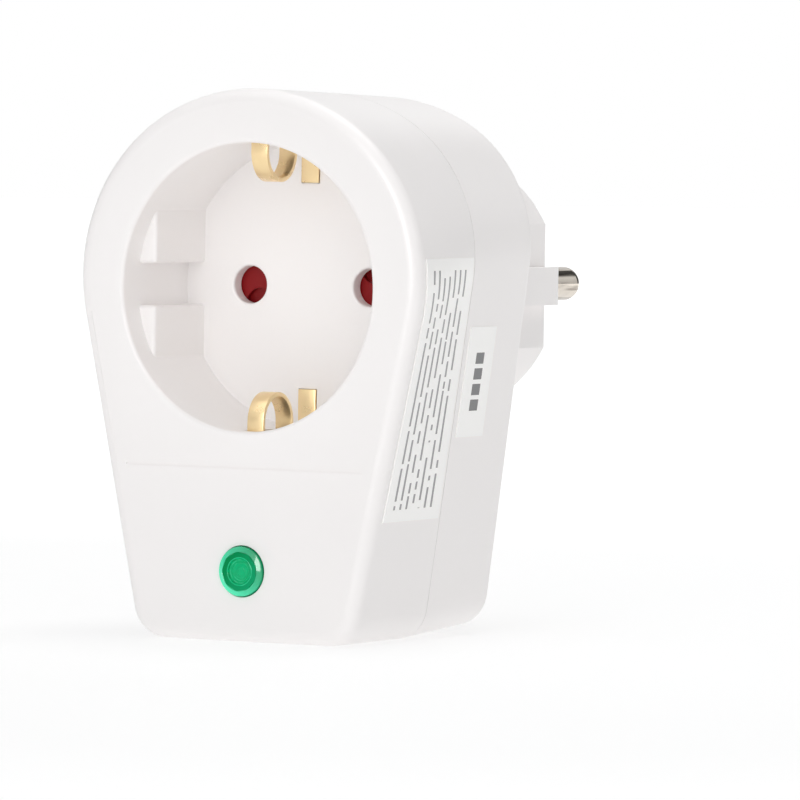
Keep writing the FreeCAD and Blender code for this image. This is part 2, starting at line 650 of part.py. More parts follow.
# pin bores with a collar seat and a shallow ring round each root
sk = front_sketch(back, "pin_bores", D["body_depth"])
for side in (-1, 1):
    disc(sk, D["pin_half_pitch"] * side, 0, D["neck_radius"])
pocket(back, sk, D["plug_length"] + PAST)
sk = front_sketch(back, "collar_seats", D["body_depth"])
for side in (-1, 1):
    disc(sk, D["pin_half_pitch"] * side, 0, D["collar_radius"])
pocket(back, sk, D["plug_length"] - D["face_wall"])
sk = front_sketch(back, "root_rings", plug_face - D["root_ring_depth"])
for side in (-1, 1):
    disc(sk, D["pin_half_pitch"] * side, 0, D["pin_radius"] + D["root_ring_width"])
pocket(back, sk, D["root_ring_depth"] + PAST)
sk = front_sketch(back, "gate_dimple", plug_face - D["dimple_depth"])
disc(sk, 0, D["dimple_drop"], D["dimple_radius"])
pocket(back, sk, D["dimple_depth"] + PAST)

# screw wells and clearance holes
sk = front_sketch(back, "screw_wells", seat_y)
for side in (-1, 1):
    disc(sk, D["screw_x"] * side, -D["screw_z"], D["screw_well"])
pocket(back, sk, D["body_depth"] - seat_y + PAST)
sk = front_sketch(back, "screw_holes", D["seam_depth"] - PAST)
for side in (-1, 1):
    disc(sk, D["screw_x"] * side, -D["screw_z"], D["screw_radius"] + D["screw_clearance"])
pocket(back, sk, seat_y - D["seam_depth"] + PAST * 2)

# four slanted vents, parallel to the sides
sk = front_sketch(back, "vents", D["body_depth"] - D["wall"] - PAST)
for side in (-1, 1):
    for x_top, z_top in ((D["vent_x"], D["vent_top"]), (D["low_vent_x"], -D["low_vent_top"])):
        x_low = x_top - D["vent_length"] * D["vent_slope"]
        z_low = z_top - D["vent_length"]
        outer_edge, inner_edge = D["vent_half"], -D["vent_half"]
        bulge = D["vent_half"] * VENT_ROUND * side
        loop(sk, [((x_top + inner_edge) * side, z_top), ((x_low + inner_edge) * side, z_low, bulge),
                  ((x_low + outer_edge) * side, z_low), ((x_top + outer_edge) * side, z_top, bulge)])
pocket(back, sk, D["wall"] + PAST * 2)
keep(back, "rear_shell")

# Shutter, spring and contact carrier

gate = new_body("shutter")
sk = front_sketch(gate, "shutter_plate", shutter_front)
disc(sk, 0, 0, D["shutter_radius"])
pad(gate, sk, D["shutter_thick"])
sk = front_sketch(gate, "shutter_hub", shutter_front + D["shutter_thick"] / 2)
disc(sk, 0, 0, D["hub_radius"])
pad(gate, sk, hub_end - shutter_front - D["shutter_thick"] / 2)
sk = front_sketch(gate, "hub_bore", shutter_front - PAST)
disc(sk, 0, 0, D["post_radius"] + D["post_fit"])
pocket(gate, sk, hub_end - shutter_front + PAST * 2)
open_x = D["pin_half_pitch"] * cosine(D["shutter_turn"])
open_z = D["pin_half_pitch"] * sine(D["shutter_turn"])
sk = front_sketch(gate, "shutter_openings", shutter_front - PAST)
for side in (-1, 1):
    disc(sk, open_x * side, open_z * side, D["shutter_opening"])
pocket(gate, sk, D["shutter_thick"] + PAST * 2)
sk = front_sketch(gate, "shutter_scoops", shutter_front - PAST)
for side in (-1, 1):
    disc(sk, D["pin_half_pitch"] * cosine(D["ramp_turn"]) * side,
         D["pin_half_pitch"] * sine(D["ramp_turn"]) * side, D["ramp_radius"])
pocket(gate, sk, D["ramp_depth"] + PAST)
keep(gate, "shutter")

spring_in = D["hub_radius"] + D["spring_gap"]
keep(turned("shutter_spring", [
    (shutter_back + D["shutter_gap"], spring_in),
    (carrier_front, spring_in),
    (carrier_front, spring_in + D["spring_wall"]),
    (shutter_back + D["shutter_gap"], spring_in + D["spring_wall"])]), "shutter_spring")

carrier = new_body("contact_carrier")
sk = front_sketch(carrier, "carrier_plate", carrier_front)
disc(sk, 0, 0, D["carrier_radius"])
pad(carrier, sk, D["carrier_thick"])
sk = front_sketch(carrier, "carrier_windows", carrier_front - PAST)
win_x = D["leaf_half"] + D["window_gap"]
win_z = D["pin_radius"] + D["strip_thick"] + D["window_gap"]
for side in (-1, 1):
    left, right = (D["pin_half_pitch"] - win_x) * side, (D["pin_half_pitch"] + win_x) * side
    box_loop(sk, left if side > 0 else right, right if side > 0 else left, -win_z, win_z)
pocket(carrier, sk, D["carrier_thick"] + PAST * 2)
sk = front_sketch(carrier, "carrier_holes", carrier_front - PAST)
disc(sk, 0, 0, D["post_radius"] + D["post_fit"])
for side in (-1, 1):
    disc(sk, D["column_x"] * side, D["column_z"] * side,
         D["small_screw_radius"] + D["screw_clearance"])
pocket(carrier, sk, D["carrier_thick"] + PAST * 2)
keep(carrier, "contact_carrier")

# Screws


def screw(label, x, z, seat_at, radius, grip, head_radius, head_height):
    """A round-headed screw: its head sits on seat_at and its shank points to the front."""
    tip = seat_at - grip
    points = [(tip, 0), (seat_at + head_height, 0),
              (seat_at + head_height, head_radius * HEAD_CROWN),
              (seat_at + head_height * HEAD_SHOULDER, head_radius),
              (seat_at, head_radius), (seat_at, radius), (tip + radius, radius),
              (tip, radius * BLUNT_TIP)]
    return keep(turned(label, points, x, z), label)


for side, word in ((-1, "left"), (1, "right")):
    screw("case_screw_" + word, D["screw_x"] * side, -D["screw_z"], seat_y, D["screw_radius"],
          D["screw_grip"] + seat_y - D["seam_depth"] - D["pilot_spare"], D["screw_head_radius"],
          D["screw_head_height"])
    screw("carrier_screw_" + word, D["column_x"] * side, D["column_z"] * side, carrier_back,
          D["small_screw_radius"], D["small_screw_grip"] + D["carrier_thick"],
          D["small_head_radius"], D["small_head_height"])
    screw("board_screw_" + word, D["pillar_x"] * side, -D["pillar_z"], board_back,
          D["small_screw_radius"], D["small_screw_grip"] + D["board_thick"],
          D["small_head_radius"], D["small_head_height"])

# Plug pins, socket contacts and their links

for side, word in ((-1, "live"), (1, "neutral")):
    x = D["pin_half_pitch"] * side
    collar_front = plug_face - D["face_wall"] - D["collar_thick"]
    collar_back = plug_face - D["face_wall"]
    keep(turned(word + "_pin", [
        (base_front, 0), (tip_y, 0, D["pin_radius"]),
        (tip_y - D["pin_radius"], D["pin_radius"]), (neck_end, D["pin_radius"]),
        (neck_end, D["neck_radius"]), (collar_back, D["neck_radius"]),
        (collar_back, D["collar_radius"]), (collar_front, D["collar_radius"]),
        (collar_front, D["neck_radius"]), (base_back, D["neck_radius"]),
        (base_back, D["rivet_radius"]), (base_front, D["rivet_radius"])], x), word + "_pin")

    # fork of two leaves that grips the inserted pin, closed by the plate on the pin's root
    body = new_body(word + "_receptacle")
    grip = D["pin_radius"] + D["leaf_gap"]
    leaf_out = grip + D["strip_thick"]
    leaf_front = shutter_back + D["leaf_clear"]
    sk = front_sketch(body, word + "_plate", base_front)
    box_loop(sk, x - D["leaf_half"], x + D["leaf_half"], -leaf_out, leaf_out)
    disc(sk, x, 0, D["rivet_radius"])
    pad(body, sk, D["strip_thick"])
    sk = front_sketch(body, word + "_leaves", leaf_front)
    box_loop(sk, x - D["leaf_half"], x + D["leaf_half"], grip, leaf_out)
    box_loop(sk, x - D["leaf_half"], x + D["leaf_half"], -leaf_out, -grip)
    pad(body, sk, base_back - leaf_front)
    keep(body, word + "_receptacle")

    # strip from the fork down to the board, soldered through it
    link_x0, link_x1 = x - D["link_half"], x + D["link_half"]
    link_z = -D["board_top"] - D["strip_thick"] * 3
    parts = [
        strip_box(word + "_link_top", link_x0, link_x1, link_y - D["strip_thick"] * 3,
                  link_y + D["strip_thick"], -leaf_out - D["strip_thick"], -leaf_out),
        strip_box(word + "_link_drop", link_x0, link_x1, link_y,
                  link_y + D["strip_thick"], link_z, -leaf_out),
        strip_box(word + "_link_foot", link_x0, link_x1, board_back,
                  link_y + D["strip_thick"], link_z - D["strip_thick"], link_z),
        strip_box(word + "_link_pin", x - D["link_half"] / 2, x + D["link_half"] / 2,
                  D["board_depth"] - D["solder_stand"], link_y, link_z - D["strip_thick"], link_z)]
    keep(seat(fused(word + "_link", parts)), word + "_link")

# Earth path

bend = D["clip_spread"] / 2
for sign, word in ((1, "top"), (-1, "bottom")):
    # bow of the clip: a half ring whose legs run out through the slot in the cup
    ring_out = rod(word + "_bow_out", "X", bend, D["clip_half"] * 2, -D["clip_half"],
                   D["clip_front"] + bend, (D["clip_apex"] + bend) * sign)
    ring_in = rod(word + "_bow_in", "X", bend - D["strip_thick"], D["clip_half"] * 2 + PAST * 2,
                  -D["clip_half"] - PAST, D["clip_front"] + bend, (D["clip_apex"] + bend) * sign)
    ring = cut(word + "_bow_ring", ring_out, ring_in)
    z_mid, z_far = (D["clip_apex"] + bend) * sign, (D["clip_apex"] + bend * 3) * sign
    waste = strip_box(word + "_bow_waste", -D["clip_half"] - PAST, D["clip_half"] + PAST,
                      D["clip_front"] - PAST, clip_back + PAST, z_mid if sign > 0 else z_far,
                      z_far if sign > 0 else z_mid)
    bow = cut(word + "_bow", ring, waste)

    def span(name, half, y0, y1, a, b):
        lo, hi = (a, b) if sign > 0 else (-b, -a)
        return strip_box(word + "_" + name, -half, half, y0, y1, lo, hi)

    parts = [
        bow,
        span("front_leg", D["clip_half"], D["clip_front"], D["clip_front"] + D["strip_thick"],
             D["clip_apex"] + bend, strip_out),
        span("rear_leg", D["clip_half"], clip_back - D["strip_thick"], clip_back,
             D["clip_apex"] + bend, strip_out),
        span("run", D["clip_half"], clip_back - D["strip_thick"], bridge_front, strip_in, strip_out),
        span("tab", D["tab_half"], tab_front, tab_front + D["strip_thick"], D["tab_apex"], strip_out),
        span("flange", D["clip_half"], bridge_front - D["strip_thick"], bridge_front,
             strip_in - D["bridge_half"] * 2, strip_out)]
    flange_mid = strip_in - D["bridge_half"]
    whole = fused("earth_clip_%s_strip" % word, parts)
    bore = rod(word + "_rivet_bore", "Y", D["small_screw_radius"], D["strip_thick"] * 4, 0,
               bridge_front - D["strip_thick"] * 2, flange_mid * sign)
    keep(seat(cut("earth_clip_" + word, whole, bore)), "earth_clip_" + word)

    # rivet that joins the clip's flange to the bridge
    head = D["rivet_head"]
    keep(turned("earth_rivet_" + word, [
        (bridge_front - D["strip_thick"] * 2, 0), (bridge_back + D["strip_thick"], 0),
        (bridge_back + D["strip_thick"], head * RIVET_CROWN), (bridge_back, head),
        (bridge_back, D["small_screw_radius"]),
        (bridge_front - D["strip_thick"], D["small_screw_radius"]),
        (bridge_front - D["strip_thick"], head), (bridge_front - D["strip_thick"] * 2, head * RIVET_CROWN)],
        0, flange_mid * sign), "earth_rivet_" + word)

    # contact in the plug's groove: foot on the bridge, run along the nose, bowed tongue outside
    run_out = D["groove_floor"] - D["plug_wall"] - D["seat_gap"]
    run_in = run_out - D["strip_thick"]
    rise_y = plug_face - D["groove_length"] + D["seat_gap"] * 2
    tongue_out = D["plug_radius"] - D["clip_slot_gap"]
    tongue_half = D["groove_half"] - D["tongue_gap"]
    parts = [
        span("plug_foot", D["clip_half"], bridge_back, bridge_back + D["strip_thick"],
             D["bridge_half"] * 2, run_out),
        span("plug_run", D["clip_half"], bridge_back, rise_y + D["strip_thick"], run_in, run_out),
        span("plug_rise", D["clip_half"], rise_y, rise_y + D["strip_thick"], run_in, tongue_out),
        span("plug_tongue", tongue_half, rise_y, plug_face - D["strip_thick"],
             tongue_out - D["strip_thick"], tongue_out),
        span("plug_lip", tongue_half, plug_face - D["strip_thick"] * 2,
             plug_face - D["strip_thick"], D["groove_floor"] + D["seat_gap"], tongue_out)]
    keep(seat(fused("plug_earth_" + word, parts)), "plug_earth_" + word)

bridge = strip_box("bridge_bar", -D["bridge_half"], D["bridge_half"], bridge_front, bridge_back,
                   -strip_out, strip_out)
bores = fused("bridge_bores", [
    rod("bridge_bore_%s" % word, "Y", D["small_screw_radius"], D["strip_thick"] * 3, 0,
        bridge_front - D["strip_thick"], (strip_in - D["bridge_half"]) * sign)
    for sign, word in ((1, "upper"), (-1, "lower"))])
keep(seat(cut("earth_bridge", bridge, bores)), "earth_bridge")

# Indicator

keep(turned("indicator_lens", [
    (-D["lens_stand"], 0), (D["lens_reach"], 0), (D["lens_reach"], D["lens_flange"]),
    (D["lens_lip"], D["lens_flange"]), (D["lens_lip"], D["lens_radius"]),
    (0, D["lens_radius"]), (-D["lens_stand"], D["lens_radius"] * LENS_FLAT)],
    0, -D["lens_drop"]), "indicator_lens")
lamp_front = D["lens_reach"] + D["lamp_gap"]
lamp_back = lamp_front + D["lamp_length"]
keep(turned("indicator_lamp", [
    (lamp_front, 0), (lamp_back, 0), (lamp_back, D["lamp_radius"]),
    (lamp_front + D["lamp_radius"], D["lamp_radius"], D["lamp_radius"])],
    0, -D["lens_drop"]), "indicator_lamp")
for side, word in ((-1, "left"), (1, "right")):
    lead_bar = rod("lamp_wire_" + word, "Y", D["lead_radius"], board_back + D["lead_stand"] - lamp_back,
                   D["lead_half_pitch"] * side, lamp_back, -D["lens_drop"])
    bead = rod("lamp_bead_" + word, "Y", D["lead_radius"] * 2, D["bead_length"],
               D["lead_half_pitch"] * side,
               board_back, -D["lens_drop"])
    keep(seat(fused("lamp_lead_" + word, [lead_bar, bead])), "lamp_lead_" + word)

# Protection board

board = new_body("circuit_board")
sk = front_sketch(board, "board_plate", D["board_depth"])
box_loop(sk, -D["board_half"], D["board_half"], -D["board_bottom"], -D["board_top"])
pad(board, sk, D["board_thick"])
sk = front_sketch(board, "board_holes", D["board_depth"] - PAST)
slot_z = -D["board_top"] - D["strip_thick"] * 3
for side in (-1, 1):
    disc(sk, D["pillar_x"] * side, -D["pillar_z"], D["small_screw_radius"] + D["screw_clearance"])
    disc(sk, D["lead_half_pitch"] * side, -D["lens_drop"], D["lead_radius"])
    near = (D["pin_half_pitch"] - D["link_half"] / 2) * side
    far = (D["pin_half_pitch"] + D["link_half"] / 2) * side
    box_loop(sk, near if side > 0 else far, far if side > 0 else near,
             slot_z - D["strip_thick"], slot_z)
    disc(sk, D["lead_half_pitch"] * 2 * side - D["varistor_x"], -D["varistor_z"], D["lead_radius"])
pocket(board, sk, D["board_thick"] + PAST * 2)
keep(board, "circuit_board")

var_front = board_back + D["stand_off"]
legs = [rod("varistor_body", "Y", D["varistor_radius"], D["varistor_thick"],
            -D["varistor_x"], var_front, -D["varistor_z"])]
for side in (-1, 1):
    legs.append(rod("varistor_leg_%d" % (side + 1), "Y", D["lead_radius"],
                    var_front - D["board_depth"] + D["solder_stand"] + D["leg_sink"],
                    D["lead_half_pitch"] * 2 * side - D["varistor_x"],
                    D["board_depth"] - D["solder_stand"], -D["varistor_z"]))
keep(seat(fused("varistor", legs)), "varistor")
fuse_y = board_back + D["fuse_radius"]
fuse = [rod("fuse_body", "Z", D["fuse_radius"], D["fuse_length"], D["fuse_x"], fuse_y,
            -D["varistor_z"] - D["fuse_length"] / 2),
        rod("fuse_wire", "Z", D["lead_radius"], D["fuse_length"] + D["wire_out"] * 2, D["fuse_x"],
            fuse_y, -D["varistor_z"] - D["fuse_length"] / 2 - D["wire_out"])]
keep(seat(fused("thermal_fuse", fuse)), "thermal_fuse")
res_y = D["board_depth"] - D["resistor_radius"]
resistor = [rod("resistor_body", "X", D["resistor_radius"], D["resistor_length"],
                -D["resistor_length"] / 2, res_y, -D["resistor_z"]),
            rod("resistor_wire", "X", D["lead_radius"], D["resistor_length"] + D["wire_out"] * 2,
                -D["resistor_length"] / 2 - D["wire_out"], res_y, -D["resistor_z"])]
keep(seat(fused("resistor", resistor)), "resistor")

# Paper labels on the right side


def free_outline(name, part, y, inset):
    sk = doc.addObject("Sketcher::SketchObject", name)
    sk.Placement = FreeCAD.Placement(FreeCAD.Vector(0, 0, 0),
                                     FreeCAD.Rotation(FreeCAD.Vector(1, 0, 0), 90))
    bind(sk, "Placement.Base.y", y)
    outline(sk, part, inset)
    return sk


def free_loft(name, one, y0, two, y1, inset):
    item = doc.addObject("Part::Loft", name)
    item.Sections = [free_outline(name + "_a", one, y0, inset),
                     free_outline(name + "_b", two, y1, inset)]
    item.Solid = True
    item.Ruled = True
    return item


def paper(label, one, y0, two, y1, window):
    """A thin sheet that follows the case: the case grown by the paper's thickness, less the case."""
    grown_case = free_loft(label + "_over", one, y0, two, y1, -D["paper_thick"])
    case = free_loft(label + "_under", one, y0, two, y1, 0)
    sheet_skin = cut(label + "_skin", grown_case, case)
    piece = doc.addObject("Part::Common", label)
    piece.Base = sheet_skin
    piece.Tool = strip_box(label + "_window", 0, D["front_half_width"] + PAST, *window)
    return keep(seat(piece), label)


paper("side_label", front, Size.of(0), seam, front_end,
      (D["label_front"], D["label_back"], -D["label_bottom"], D["label_top"]))
paper("date_label", seam, rear_start, rear, D["body_depth"],
      (D["date_front"], D["date_back"], -D["date_bottom"], -D["date_top"]))

# Checks and files

doc.recompute()
for thing in doc.Objects:
    if "Invalid" in thing.State or "Error" in thing.State:
        raise RuntimeError("%s (%s) is %s" % (thing.Name, thing.Label, thing.State))
names = set()
for piece in PIECES:
    shape = piece.Shape
    if shape.isNull() or not shape.isValid():
        raise RuntimeError("%s has no valid shape" % piece.Label)
    if len(shape.Solids) != 1:
        raise RuntimeError("%s has %d solids" % (piece.Label, len(shape.Solids)))
    if piece.Label in names:
        raise RuntimeError("the name %s is used twice" % piece.Label)
    names.add(piece.Label)

os.makedirs("parts", exist_ok=True)
for piece in PIECES:
    piece.Shape.exportStep(os.path.join("parts", piece.Label + ".step"))
    box = piece.Shape.BoundBox
    print("%-22s volume %9.2f  x %7.2f %7.2f  y %7.2f %7.2f  z %7.2f %7.2f" % (
        piece.Label, piece.Shape.Volume, box.XMin, box.XMax, box.YMin, box.YMax, box.ZMin, box.ZMax))
print("%d pieces" % len(PIECES))
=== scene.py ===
import json
import math

import bmesh
import bpy
from mathutils import Matrix, Vector

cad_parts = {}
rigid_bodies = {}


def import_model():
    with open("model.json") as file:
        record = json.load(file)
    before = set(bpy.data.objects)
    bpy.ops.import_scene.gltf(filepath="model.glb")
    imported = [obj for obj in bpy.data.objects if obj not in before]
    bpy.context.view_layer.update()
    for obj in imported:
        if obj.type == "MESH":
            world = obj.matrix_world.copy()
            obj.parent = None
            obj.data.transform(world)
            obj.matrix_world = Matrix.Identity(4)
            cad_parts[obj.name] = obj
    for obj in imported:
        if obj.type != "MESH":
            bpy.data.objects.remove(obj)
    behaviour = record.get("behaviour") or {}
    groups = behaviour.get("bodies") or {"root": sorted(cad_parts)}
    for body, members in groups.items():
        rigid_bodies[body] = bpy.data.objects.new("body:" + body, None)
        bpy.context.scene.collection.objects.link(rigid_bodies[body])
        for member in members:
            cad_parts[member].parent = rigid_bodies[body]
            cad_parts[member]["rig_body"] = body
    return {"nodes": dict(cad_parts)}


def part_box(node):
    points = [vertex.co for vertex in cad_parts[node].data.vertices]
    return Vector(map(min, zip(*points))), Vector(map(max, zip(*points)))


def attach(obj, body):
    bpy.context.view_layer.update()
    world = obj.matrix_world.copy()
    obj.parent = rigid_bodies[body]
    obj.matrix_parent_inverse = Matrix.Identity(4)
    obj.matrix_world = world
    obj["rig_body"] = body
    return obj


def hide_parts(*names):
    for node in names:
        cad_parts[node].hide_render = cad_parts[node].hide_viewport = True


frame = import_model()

bl_info = {
    "name": "Thermal protection plug",
    "version": (1, 0, 0),
    "blender": (4, 5, 0),
    "location": "View3D > Sidebar > Plug",
    "description": "Finishes the plug-in adapter: shells, contacts, lens, labels and studio",
    "category": "Object",
}

MM = 0.001
CASE = "case"
PHOTO_SIDE = 800
SENSOR_WIDTH = 36.0
COOL_WHITE = (0.99, 0.995, 1.0, 1.0)
LENS_RADIUS = 3.5 * MM
# corners nearer than this are one, and what is divided by the next counts for nothing
SAME_PLACE = 0.001 * MM
BOUNDLESS = 1e6
# the Mix node's setting and sockets for colours
MIX_COLOURS = [("data_type", "RGBA")]
MIX_FACTOR, MIX_ONE, MIX_TWO, MIX_RESULT = 0, 6, 7, 2
# the point to which the lights turn
STAGE_CENTRE = Vector((0, 0, 40 * MM))
# dark gaps between the tent's cloths: direction and half width, degrees round the object from +X
TENT_GAPS = ((203.0, 1.3), (301.0, 2.0), (36.0, 15.0), (84.0, 10.0), (150.0, 6.0))
# beyond its half width a gap fades out to this many half widths, and this much light is left in it
GAP_FADE, GAP_LIGHT = 1.5, 0.08


def linear(code):
    """An sRGB hex colour as linear red, green, blue and alpha."""
    parts = [int(code[k:k + 2], 16) / 255 for k in (1, 3, 5)]
    return tuple(p / 12.92 if p <= 0.04045 else ((p + 0.055) / 1.055) ** 2.4
                 for p in parts) + (1.0,)


def per_mm(size_mm):
    """Texture scale, on coordinates in metres, whose features are about size_mm across."""
    return 1.0 / (size_mm * MM)


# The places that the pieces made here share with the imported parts

LENS_LOW, LENS_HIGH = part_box("indicator_lens")
LENS_X = (LENS_LOW.x + LENS_HIGH.x) / 2
LENS_Z = (LENS_LOW.z + LENS_HIGH.z) / 2
LABEL_LOW, LABEL_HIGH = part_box("side_label")
DATE_LOW, DATE_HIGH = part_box("date_label")
PIN_LOW, PIN_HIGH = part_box("live_pin")
SOCKET_Z = (PIN_LOW.z + PIN_HIGH.z) / 2
FACE_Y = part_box("front_shell")[0].y


class PlugFinishSettings(bpy.types.PropertyGroup):
    """Colours of the mouldings, the metals and the labels."""

    shell: bpy.props.FloatVectorProperty(
        name="Shell", description="White of the two case shells", subtype="COLOR", size=4,
        min=0.0, max=1.0, default=linear("#FDFAF9"))
    shutter: bpy.props.FloatVectorProperty(
        name="Shutter", description="Dark red of the turning shutter", subtype="COLOR", size=4,
        min=0.0, max=1.0, default=linear("#901519"))
    brass: bpy.props.FloatVectorProperty(
        name="Brass", description="Bright rolled brass strip", subtype="COLOR", size=4,
        min=0.0, max=1.0, default=linear("#FFE0AE"))
    nickel: bpy.props.FloatVectorProperty(
        name="Nickel", description="Nickel plating of the pins", subtype="COLOR", size=4,
        min=0.0, max=1.0, default=linear("#E8DFD3"))
    paper: bpy.props.FloatVectorProperty(
        name="Paper", description="Coated paper of the labels", subtype="COLOR", size=4,
        min=0.0, max=1.0, default=linear("#FCFBF9"))
    ink: bpy.props.FloatVectorProperty(
        name="Ink", description="Grey of the dashes on the labels", subtype="COLOR", size=4,
        min=0.0, max=1.0, default=linear("#88888A"))
    grain: bpy.props.FloatProperty(
        name="Grain", description="Size of the mould's fine texture", unit="LENGTH",
        min=0.00005, max=0.002, default=0.22 * MM)


class PlugLensSettings(bpy.types.PropertyGroup):
    """Sizes and colours of the indicator lens."""

    radius: bpy.props.FloatProperty(
        name="Radius", description="Radius of the lens in the front face", unit="LENGTH",
        min=0.001, max=0.01, default=LENS_RADIUS)
    stand: bpy.props.FloatProperty(
        name="Stand", description="How far the lens stands out of the front face", unit="LENGTH",
        min=0.0, max=0.003, default=FACE_Y - LENS_LOW.y)
    facets: bpy.props.IntProperty(
        name="Facets", description="Flat sides of the deep green ring", min=5, max=32,
        default=9)
    ring_radius: bpy.props.FloatProperty(
        name="Ring radius", description="Outer radius of the faceted ring", unit="LENGTH",
        min=0.0005, max=0.006, default=2.72 * MM)
    core_radius: bpy.props.FloatProperty(
        name="Core radius", description="Radius of the ringed core inside the facets",
        unit="LENGTH", min=0.0005, max=0.005, default=1.85 * MM)
    # the rim's two greens are painted light and shade: lightest low on the left, shaded high on
    # the right
    rim: bpy.props.FloatVectorProperty(
        name="Rim", description="Lightest green of the rim, low on the left", subtype="COLOR",
        size=4, min=0.0, max=1.0, default=linear("#52FFC6"))
    rim_painted_shade: bpy.props.FloatVectorProperty(
        name="Rim shade", description="Green of the rim, high on the right", subtype="COLOR",
        size=4, min=0.0, max=1.0, default=linear("#12A66E"))
    # the ring's two greens are painted shade and light: deep at the top left, lighter low on the
    # right
    ring: bpy.props.FloatVectorProperty(
        name="Ring", description="Deep green of the faceted ring", subtype="COLOR", size=4,
        min=0.0, max=1.0, default=linear("#008A4A"))
    ring_painted_light: bpy.props.FloatVectorProperty(
        name="Ring light", description="Lighter green of the faceted ring", subtype="COLOR",
        size=4, min=0.0, max=1.0, default=linear("#16A870"))
    core: bpy.props.FloatVectorProperty(
        name="Core", description="Green of the core", subtype="COLOR", size=4,
        min=0.0, max=1.0, default=linear("#00AE6A"))
    core_light: bpy.props.FloatVectorProperty(
        name="Core light", description="Lighter green of the core", subtype="COLOR", size=4,
        min=0.0, max=1.0, default=linear("#0ACB8A"))


class PlugStageSettings(bpy.types.PropertyGroup):
    """The camera's place, fitted to the photograph, and the studio."""

    azimuth: bpy.props.FloatProperty(
        name="Azimuth", description="Turn of the view round the upright axis", subtype="ANGLE",
        default=math.radians(30.86))
    elevation: bpy.props.FloatProperty(
        name="Elevation", description="Height of the view above the horizon", subtype="ANGLE",
        default=math.radians(1.24))
    roll: bpy.props.FloatProperty(
        name="Roll", description="Turn of the picture round the view's axis", subtype="ANGLE",
        default=math.radians(-0.84))
    distance: bpy.props.FloatProperty(
        name="Distance", description="From the lens to the middle of the socket's face",
        unit="LENGTH", default=0.9865)
    focal_pixels: bpy.props.FloatProperty(
        name="Focal length", description="Focal length in pixels of the photograph",
        subtype="PIXEL", default=7286.9)
    aim_pixel: bpy.props.FloatVectorProperty(
        name="Aim", description="Pixel where the middle of the socket's face lies", size=2,
        default=(245.82, 287.41))
    floor: bpy.props.FloatVectorProperty(
        name="Floor", description="Colour of the floor", subtype="COLOR", size=4,
        min=0.0, max=1.0, default=linear("#A9A9A9"))


def add_node(tree, kind, settings=(), values=(), links=()):
    """One shader node with its settings, socket values and incoming links."""
    made = tree.nodes.new("ShaderNode" + kind)
    for name, value in settings:
        setattr(made, name, value)
    for name, value in values:
        made.inputs[name].default_value = value
    for name, source in links:
        tree.links.new(source, made.inputs[name])
    return made


def start_material(name, colour, metallic, roughness, ior=None):
    """A material with its Principled shader and the object's own coordinates."""
    mat = bpy.data.materials.new(name)
    mat.use_nodes = True
    mat.diffuse_color = colour
    tree = mat.node_tree
    shader = tree.nodes["Principled BSDF"]
    shader.inputs["Base Color"].default_value = colour
    shader.inputs["Metallic"].default_value = metallic
    shader.inputs["Roughness"].default_value = roughness
    if ior is not None:
        shader.inputs["IOR"].default_value = ior
    place = add_node(tree, "TexCoord").outputs["Object"]
    return mat, tree, shader, place


def shade(colour, factor):
    """The same colour, lighter or darker."""
    return tuple(min(1.0, c * factor) for c in colour[:3]) + (1.0,)


def vary(tree, shader, pattern, one, two, roughness=None):
    """Let a pattern from 0 to 1 lead the shader from colour one to colour two, and its roughness
    from low to high where that pair is given. It returns the colour."""
    colour = add_node(tree, "Mix", MIX_COLOURS, [(MIX_ONE, one), (MIX_TWO, two)],
                      [(MIX_FACTOR, pattern)]).outputs[MIX_RESULT]
    tree.links.new(colour, shader.inputs["Base Color"])
    if roughness:
        low, high = roughness
        rough = add_node(tree, "MapRange", values=[("To Min", low), ("To Max", high)],
                         links=[("Value", pattern)]).outputs["Result"]
        tree.links.new(rough, shader.inputs["Roughness"])
    return colour


def moulded_plastic(name, colour, grain, roughness=0.36, specular=0.5):
    """ABS or polyamide, injection moulded in a spark-eroded tool: an even satin with a very fine
    grain, and slow changes of gloss where the melt flowed. The grain is drawn a little coarser
    than real."""
    mat, tree, shader, place = start_material(name, colour, 0.0, roughness, 1.54)
    shader.inputs["Specular IOR Level"].default_value = specular
    flow = add_node(tree, "TexNoise", values=[("Scale", per_mm(14)), ("Detail", 2.0)],
                    links=[("Vector", place)]).outputs["Fac"]
    fine = add_node(tree, "TexNoise", values=[("Scale", 1.0 / grain), ("Detail", 3.0)],
                    links=[("Vector", place)]).outputs["Fac"]
    vary(tree, shader, flow, shade(colour, 0.975), shade(colour, 1.015),
         (roughness - 0.05, roughness + 0.06))
    bump = add_node(tree, "Bump", values=[("Strength", 0.35), ("Distance", 0.006 * MM)],
                    links=[("Height", fine)])
    tree.links.new(bump.outputs["Normal"], shader.inputs["Normal"])
    return mat


def rolled_brass(name, colour):
    """CuZn37 strip, rolled bright and stamped: a warm mirror with fine lines along the strip and
    faint clouds where it was handled. A trace of dull film from pickling softens its blacks."""
    mat, tree, shader, place = start_material(name, colour, 0.8, 0.2)
    lines = add_node(tree, "Mapping", values=[("Scale", (6.0, 1.0, 1.0))],
                     links=[("Vector", place)]).outputs["Vector"]
    rolling = add_node(tree, "TexNoise", values=[("Scale", per_mm(0.9)), ("Detail", 4.0)],
                       links=[("Vector", lines)]).outputs["Fac"]
    clouds = add_node(tree, "TexNoise", values=[("Scale", per_mm(2.5)), ("Detail", 3.0)],
                      links=[("Vector", place)]).outputs["Fac"]
    vary(tree, shader, clouds, shade(colour, 0.86), shade(colour, 1.06), (0.2, 0.4))
    bump = add_node(tree, "Bump", values=[("Strength", 0.4), ("Distance", 0.02 * MM)],
                    links=[("Height", rolling)])
    tree.links.new(bump.outputs["Normal"], shader.inputs["Normal"])
    return mat


